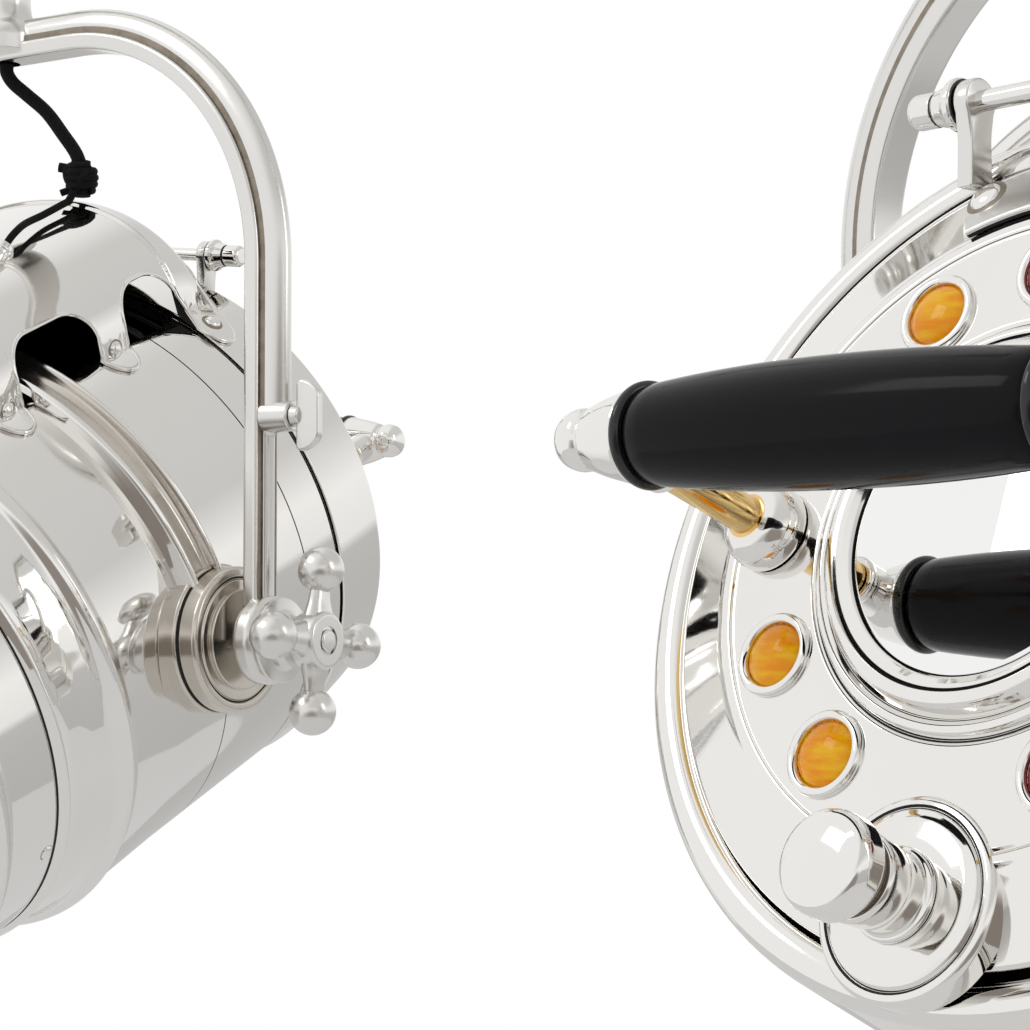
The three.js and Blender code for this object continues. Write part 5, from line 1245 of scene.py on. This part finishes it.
def build_handle(head):
    """The grip between its nickel ends, and the two posts that carry it."""
    place = moved(head.drum, y=HANDLE_STAND) @ ALONG_X
    half = []
    for k in range(13):
        share = k / 12
        half.append((GRIP_RADIUS - (GRIP_RADIUS - GRIP_END) * share ** 2.2,
                     (GRIP_HALF - 3) * share, 0))
    half += [(GRIP_END - 0.8, GRIP_HALF - 1.2, 1.2), (GRIP_END - 2, GRIP_HALF, 0.8)]
    left = [(radius, -along, rounding) for radius, along, rounding in reversed(half[1:])]
    head.finished("grip", "handle_grip", "door", turned(
        [*left, *half, (5, GRIP_HALF, 0.3), (5, -GRIP_HALF, 0.3)], place), "grip", "black_grip")

    start = GRIP_HALF + FIT_GAP
    bm = turned(mirrored([
        (4.7, start, 0.2), (15.8, start, 0.8, 1), (17, start + 1.2, 1.2, 1),
        (17, start + 2.8, 1.2, 1), (15.9, start + 4.2, 0.6, 1), (15.5, start + 4.4, 0.2, 0),
        (15.7, start + 5.4, 0.8), (14.8, start + 9, 3), (12.8, start + 18, 4),
        (10.6, start + 25.2, 1.2), (8.8, start + 26.4, 0.8), (8.8, start + 27.4, 0.6),
        (10, start + 29, 1.2), (10.3, start + 32.4, 2.4), (9, start + 37, 2.6),
        (5.4, HANDLE_HALF - 0.9, 2.4), (0, HANDLE_HALF),
    ]), place)
    posts = {"left": moved(head.drum, POST_SPAN), "right": moved(head.drum, -POST_SPAN)}
    for at in posts.values():
        turned([(0, HANDLE_STAND), (8.5, HANDLE_STAND), (8.5, 65, 0.8), (9.2, 63.4, 0.6),
                (8.4, 62, 0.6), (0, 62)], at, SMALL_SIDES, bm)
    head.finished("grip_rod", "handle_rod", "door", bm, "nickel ring")
    for name, at in posts.items():
        head.finished(f"post_{name}", f"handle_post_{name}", "door", turned([
            (0, 0), (14.6, 0, 0.4), (15, 1.2, 0.8), (14.9, 4.5, 2), (13.6, 8.6, 2.6),
            (10.6, 12, 2.6), (7.4, 13.4, 0.8, 1), (6.5, 13.6, 0.2, 1), (6.5, 51.2, 0.4, 1),
            (0, 51.3),
        ], at, SMALL_SIDES, base=DOOR_RISE + FIT_GAP), "nickel brass", "plain_brass")


def build_hinge(head):
    """The door's half of the hinge with its leaning ears, and the rod with tapered nuts."""
    inner, outer = HINGE_BAND
    low, high = map(door_slope_at, HINGE_BAND)
    half = degrees(atan2(HINGE_SPAN, (inner + outer) / 2)) - 0.6
    # The band's inner edge takes the near-black finish: painted shade under the band.
    bm = turned([
        (inner, low + 0.3, 0.2, 1), (inner, low + 2.7, 0.8), (inner + 1.2, low + 3.2, 0.8),
        (outer - 1.2, high + 3.6, 0.8), (outer, high + 2.8, 0.8), (outer, high + 0.3, 0.2),
    ], head.turned_door, BIG_SIDES, start=-half, sweep=2 * half)
    ear = [(HINGE_EYE * sin(radians(a)), HINGE_EYE * cos(radians(a)), 0)
           for a in range(-120, 121, 12)]
    ear += [(EAR_DEPTH / 2, -12, 3), (EAR_DEPTH / 2 + 0.5, -EAR_LENGTH + 1, 1),
            (-EAR_DEPTH / 2 - 0.5, -EAR_LENGTH + 1, 1), (-EAR_DEPTH / 2, -12, 3)]
    place = head.hinge @ spin(-EAR_LEAN, "X") @ spin(90, "Z")
    for side in (1, -1):
        near, far = sorted((-side * (HINGE_SPAN - EAR_THICKNESS), -side * HINGE_SPAN))
        plate(ear, near, far, place, 0.8, 0, bm)
    head.finished("hinge_ears", "hinge_bracket", "door", bm, "cast dark")

    nut = HINGE_SPAN + 0.4
    head.finished("hinge_rod", "hinge_pin", "head", turned(mirrored([
        (3.6, nut - 0.1, 0, 1), (8.6, nut, 0.3, 1), (8.6, nut + 0.9, 0.2, 0),
        (9.2, nut + 1.3, 0.5), (9.2, nut + 3.4, 0.6), (7.6, nut + 5.2, 1), (6.4, nut + 9.4, 1),
        (6.2, nut + 10.4, 0.3, 1), (5.4, nut + 10.6, 0.1, 1), (5.4, nut + 11.2, 0.1, 0),
        (6.2, nut + 11.4, 0.4), (6.2, nut + 19.6, 1.4), (4.8, nut + 21.4, 0.8),
        (0, nut + 21.5),
    ]), head.hinge @ ALONG_X, SMALL_SIDES), "nickel ring")


# Geometry Nodes for screws and rims

def points_tree(name, inputs):
    sockets = [("INPUT", label, "Float", default) for label, default in inputs]
    return new_tree(name, "GeometryNodeTree", (
        ("INPUT", "Geometry", "Geometry"), *sockets, ("OUTPUT", "Geometry", "Geometry")))


def placed_on_points(tree, given, outward, shape):
    """Sets a shape on each point, turned to the point's facing, and ends the tree."""
    facing = node(tree, "GeometryNodeInputNamedAttribute", {"Name": "facing"},
                  data_type="FLOAT_VECTOR")
    turn = node(tree, "FunctionNodeAlignRotationToVector", {"Vector": facing}, axis="Z")
    spread = node(tree, "GeometryNodeInstanceOnPoints", {
        "Points": given["Geometry"], "Instance": shape, "Rotation": turn})
    feed(outward, {"Geometry": node(tree, "GeometryNodeRealizeInstances",
                                    {"Geometry": spread})})
    tree.is_modifier = True
    return tree


def dome_tree(name):
    """Domed screws: a flattened ball on each point."""
    tree, given, outward = points_tree(name, (("Radius", 0.004), ("Height", 0.002)))
    cap = node(tree, "GeometryNodeMeshUVSphere", {"Segments": 28, "Rings": 14, "Radius": 1})
    size = node(tree, "ShaderNodeCombineXYZ", {"X": given["Radius"], "Y": given["Radius"],
                                               "Z": given["Height"]})
    return placed_on_points(tree, given, outward, node(
        tree, "GeometryNodeTransform", {"Geometry": cap, "Scale": size}))


def rim_tree(name):
    """Rims: a round wire ring on each point."""
    tree, given, outward = points_tree(name, (("Radius", 0.0115), ("Wire", 0.0018)))
    loop, wire = (node(tree, "GeometryNodeCurvePrimitiveCircle",
                       {"Resolution": sides, "Radius": given[label]})
                  for sides, label in ((56, "Radius"), (16, "Wire")))
    return placed_on_points(tree, given, outward, node(
        tree, "GeometryNodeCurveToMesh", {"Curve": loop, "Profile Curve": wire}))


TREE_MAKERS = {"handling_marks": marks_tree, "dome_screws": dome_tree, "jewel_rims": rim_tree}


def set_points(name, tree_name, spots, values, body, coats="nickel"):
    """Runs a tree on points and their facings, and keeps the result as a plain piece."""
    tree = tree_called(tree_name)
    mesh = bpy.data.meshes.new(name)
    mesh.from_pydata([spot for spot, _ in spots], [], [])
    facing = mesh.attributes.new("facing", "FLOAT_VECTOR", "POINT")
    facing.data.foreach_set("vector", [value for _, way in spots for value in way])
    source = linked(name + "_points", mesh)
    modifier = source.modifiers.new("points", "NODES")
    modifier.node_group = tree
    for item in tree.interface.items_tree:
        if item.in_out == "INPUT" and item.name in values:
            modifier[item.identifier] = values[item.name]
    mesh = evaluated(source)
    mesh.name = name
    mesh.materials.clear()
    mesh.polygons.foreach_set("material_index", [0] * len(mesh.polygons))
    shown(name, mesh, coats, body, ())


def set_domes(name, spots, radius, height, body):
    """Domed screws, each on a darker washer that stands a little wider."""
    set_points(name, "dome_screws", spots, {"Radius": radius, "Height": height}, body)
    values = {"Radius": radius * 1.28, "Height": height * 0.36}
    set_points(name + "_washers", "dome_screws", spots, values, body, "patina")


def surface_spot(place, point, normal):
    return place @ Vector(point), (place.to_3x3() @ Vector(normal)).normalized()


def hood_normal(angle, along, step=0.01, reach=0.5):
    a = hood_point(angle + step, along) - hood_point(angle - step, along)
    b = hood_point(angle, along + reach) - hood_point(angle, along - reach)
    normal = a.cross(b).normalized()
    return normal if normal.dot(Vector((sin(angle), 0, cos(angle)))) > 0 else -normal


def build_screws(head):
    """The screws in the hood's tabs, the bezel and the hinge's band, and the jewels' rims."""
    spots = []
    for tab, tip in TABS:
        for side in (1, -1):
            angle = side * hood_angle_at(tip + 10.5, tab)
            spots.append(surface_spot(head.drum, hood_point(angle, tab),
                                      hood_normal(angle, tab)))
    screw = sizes().tab_screw
    set_domes(head.called("tab_screws"), spots, screw, screw * 0.6, head.called("head"))

    spots = []
    for a in map(radians, BEZEL_SCREW_ANGLES):
        spot = (BEZEL_SCREW_RADIUS * cos(a), BEZEL_SCREW_BACK, BEZEL_SCREW_RADIUS * sin(a))
        spots.append(surface_spot(head.drum, spot, (cos(a), 0, sin(a))))
    set_domes(head.called("bezel_screws"), spots, screw * 0.85, screw * 0.5,
              head.called("head"))

    spots = []
    radius = sum(HINGE_BAND) / 2 + 4
    rise = door_slope_at(radius) + 3.3
    for a in map(radians, HINGE_SCREW_ANGLES):
        spots.append(surface_spot(head.turned_door, (radius * cos(a), rise, radius * sin(a)),
                                  Vector((cos(a) * 0.33, 1, sin(a) * 0.33)).normalized()))
    screw = sizes().hinge_screw
    set_domes(head.called("hinge_screws"), spots, screw, screw * 0.5, head.called("door"))

    spots = [surface_spot(head.drum, (x, DOOR_RISE + 0.4, z), (0, 1, 0))
             for x, z in jewel_places(AMBER_ANGLES + RED_ANGLES)]
    wire = sizes().jewel_rim / 2
    values = {"Radius": JEWEL_RADIUS * MM + wire * 0.95, "Wire": wire}
    set_points(head.called("jewel_rims"), "jewel_rims", spots, values, head.called("door"))


# The stage

def room_spot(tree, way, toward, start, full):
    """How far a way in the room turns towards a spot, from 0 to 1."""
    near = node(tree, "ShaderNodeVectorMath", {0: way, 1: Vector(toward).normalized()},
                "Value", operation="DOT_PRODUCT")
    return node(tree, "ShaderNodeMapRange", {"Value": near, "From Min": start,
                                             "From Max": full},
                interpolation_type="SMOOTHSTEP")


def build_world():
    """A room for the metal to mirror, with plain white behind the chandelier."""
    world = bpy.data.worlds.new("studio_room")
    bpy.context.scene.world = world
    world.use_nodes = True
    tree = world.node_tree
    tree.nodes.clear()
    way = node(tree, "ShaderNodeTexCoord", out="Generated")
    up = node(tree, "ShaderNodeSeparateXYZ", {"Vector": way}, "Z")
    spread = node(tree, "ShaderNodeMapRange", {"Value": up, "From Min": -1, "From Max": 1})
    height = node(tree, "ShaderNodeValToRGB", {"Fac": spread})
    ramp = height.node.color_ramp.elements
    ramp[0].color, ramp[1].color = (0.46, 0.455, 0.44, 1), (0.72, 0.715, 0.70, 1)
    for position, value in ((0.42, 0.55), (0.48, 0.58), (0.50, 0.94), (0.60, 1.02),
                            (0.66, 0.86), (0.73, 0.68)):
        ramp.new(position).color = (value, value * 0.995, value * 0.985, 1)
    glow = room_spot(tree, way, (-0.69, -0.47, 0.5), 0.2, 0.6)
    patch = room_spot(tree, way, (0.66, -0.72, -0.3), 0.86, 0.96)
    bright = blend(tree, glow, height, (0.98, 0.98, 0.975, 1))
    room = blend(tree, patch, bright, (0.30, 0.27, 0.245, 1))
    gloss, fill, white = (
        node(tree, "ShaderNodeBackground", {"Color": colour, "Strength": strength})
        for colour, strength in ((room, 1), ((1, 1, 1, 1), studio().fill_level),
                                 ((1, 1, 1, 1), 1)))
    seen = node(tree, "ShaderNodeLightPath").node.outputs
    shiny = node(tree, "ShaderNodeMixShader", {0: seen["Is Glossy Ray"], 1: fill, 2: gloss})
    either = node(tree, "ShaderNodeMath", {0: seen["Is Camera Ray"],
                                           1: seen["Is Transmission Ray"]},
                  operation="MAXIMUM")
    whole = node(tree, "ShaderNodeMixShader", {0: either, 1: shiny, 2: white})
    feed(tree.nodes.new("ShaderNodeOutputWorld"), {"Surface": whole})


def build_floor():
    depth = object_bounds()[0][2] - studio().floor_drop
    bm = bmesh.new()
    bmesh.ops.create_circle(bm, cap_ends=True, segments=96, radius=studio().floor_radius,
                            matrix=Matrix.Translation((0, 0, depth)))
    mesh = mesh_of("studio_floor", bm)
    coat(mesh, "paint")
    linked("studio_floor", mesh)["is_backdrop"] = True


def add_light(name, place, size, power):
    light = bpy.data.lights.new(name, "AREA")
    light.shape = "RECTANGLE"
    light.size, light.size_y = size
    light.energy = power
    made = linked(name, light)
    made.location = place
    made.rotation_euler = looking(Vector(place) - Vector((0, 0, -0.75)))


def build_lights():
    power = studio().key_power
    add_light("key_light", (-0.9, -1.5, 0.9), (1.0, 0.7), power)
    add_light("side_light", (2.0, 0.6, 0.1), (0.5, 1.2), power * 0.5)


# Operators, panel and registration

class BuildOperator:
    """Shared behaviour of the operators: each runs its steps once, or once for each head."""

    bl_options = {"REGISTER", "UNDO"}
    once = ()
    each = ()

    def execute(self, context):
        for step in self.once:
            step()
        for head in HEADS:
            for step in self.each:
                step(head)
        return {"FINISHED"}


class CHANDELIER_OT_camera(BuildOperator, bpy.types.Operator):
    """Places the camera where the photograph was taken from"""

    bl_idname = "chandelier.camera"
    bl_label = "Camera"
    once = (build_camera,)


class CHANDELIER_OT_cords(BuildOperator, bpy.types.Operator):
    """Hangs each head's cord, its tie and the lead to the hood"""

    bl_idname = "chandelier.cords"
    bl_label = "Cords and Leads"
    each = (build_cords,)


class CHANDELIER_OT_ceiling(BuildOperator, bpy.types.Operator):
    """Builds the ceiling bell, the rod and the two cross arms"""

    bl_idname = "chandelier.ceiling"
    bl_label = "Ceiling Rod and Arms"
    once = (build_ceiling,)


class CHANDELIER_OT_yokes(BuildOperator, bpy.types.Operator):
    """Builds the yokes with their stems and wing screws"""

    bl_idname = "chandelier.yokes"
    bl_label = "Yokes and Stems"
    each = (build_yoke, build_stem, build_wing)


class CHANDELIER_OT_clamps(BuildOperator, bpy.types.Operator):
    """Builds the pivot bosses and the clamp knobs"""

    bl_idname = "chandelier.clamps"
    bl_label = "Bosses and Clamp Knobs"
    each = (build_clamps,)


class CHANDELIER_OT_drums(BuildOperator, bpy.types.Operator):
    """Builds the drums with their hoops and rear rings"""

    bl_idname = "chandelier.drums"
    bl_label = "Drums and Rear Rings"
    each = (build_drum, build_ring)


class CHANDELIER_OT_fronts(BuildOperator, bpy.types.Operator):
    """Builds the bezels, lenses, reflectors, lampholders and bulbs"""

    bl_idname = "chandelier.fronts"
    bl_label = "Fronts"
    each = (build_bezel, build_lens, build_lamp)


class CHANDELIER_OT_hoods(BuildOperator, bpy.types.Operator):
    """Builds the scalloped hoods over the vents"""

    bl_idname = "chandelier.hoods"
    bl_label = "Hoods"
    each = (build_hood,)


class CHANDELIER_OT_doors(BuildOperator, bpy.types.Operator):
    """Builds the rear doors, their mirrors and latch knobs"""

    bl_idname = "chandelier.doors"
    bl_label = "Doors and Latches"
    each = (build_door,)


class CHANDELIER_OT_jewels(BuildOperator, bpy.types.Operator):
    """Sets the amber and red jewels in the doors"""

    bl_idname = "chandelier.jewels"
    bl_label = "Jewels"
    each = (build_jewels,)


class CHANDELIER_OT_handles(BuildOperator, bpy.types.Operator):
    """Builds the grips, their rods and the brass posts"""

    bl_idname = "chandelier.handles"
    bl_label = "Handles"
    each = (build_handle,)


class CHANDELIER_OT_hinges(BuildOperator, bpy.types.Operator):
    """Builds the door hinges"""

    bl_idname = "chandelier.hinges"
    bl_label = "Hinges"
    each = (build_hinge,)


class CHANDELIER_OT_screws(BuildOperator, bpy.types.Operator):
    """Sets the domed screws and the jewels' rims"""

    bl_idname = "chandelier.screws"
    bl_label = "Screws and Rims"
    each = (build_screws,)


class CHANDELIER_OT_stage(BuildOperator, bpy.types.Operator):
    """Builds the floor, the room's light and the lamps"""

    bl_idname = "chandelier.stage"
    bl_label = "Stage"
    once = (build_world, build_floor, build_lights)


OPERATORS = (
    CHANDELIER_OT_camera, CHANDELIER_OT_cords, CHANDELIER_OT_ceiling, CHANDELIER_OT_yokes,
    CHANDELIER_OT_clamps, CHANDELIER_OT_drums, CHANDELIER_OT_fronts, CHANDELIER_OT_hoods,
    CHANDELIER_OT_doors, CHANDELIER_OT_jewels, CHANDELIER_OT_handles, CHANDELIER_OT_hinges,
    CHANDELIER_OT_screws, CHANDELIER_OT_stage,
)


class CHANDELIER_PT_build(bpy.types.Panel):
    """Lists the chandelier's sizes, finishes and build steps"""

    bl_idname = "CHANDELIER_PT_build"
    bl_label = "Searchlight Chandelier"
    bl_space_type = "VIEW_3D"
    bl_region_type = "UI"
    bl_category = "Chandelier"

    def draw(self, context):
        layout = self.layout
        for group in (sizes(), finishes(), studio()):
            box = layout.box()
            for name in group.__annotations__:
                box.prop(group, name)
        for operator in OPERATORS:
            layout.operator(operator.bl_idname)


GROUPS = {"chandelier_sizes": ChandelierSizes, "chandelier_finishes": ChandelierFinishes,
          "chandelier_studio": ChandelierStudio}
CLASSES = (*GROUPS.values(), *OPERATORS, CHANDELIER_PT_build)


def register():
    for made in CLASSES:
        bpy.utils.register_class(made)
    for name, group in GROUPS.items():
        setattr(bpy.types.Scene, name, bpy.props.PointerProperty(type=group))


def unregister():
    for name in GROUPS:
        delattr(bpy.types.Scene, name)
    for made in reversed(CLASSES):
        bpy.utils.unregister_class(made)


def main():
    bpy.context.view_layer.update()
    register()
    scene = bpy.context.scene
    scene.view_settings.view_transform = "Standard"
    for operator in OPERATORS:
        group, name = operator.bl_idname.split(".")
        getattr(getattr(bpy.ops, group), name)()
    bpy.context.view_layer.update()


if __name__ == "__main__":
    main()
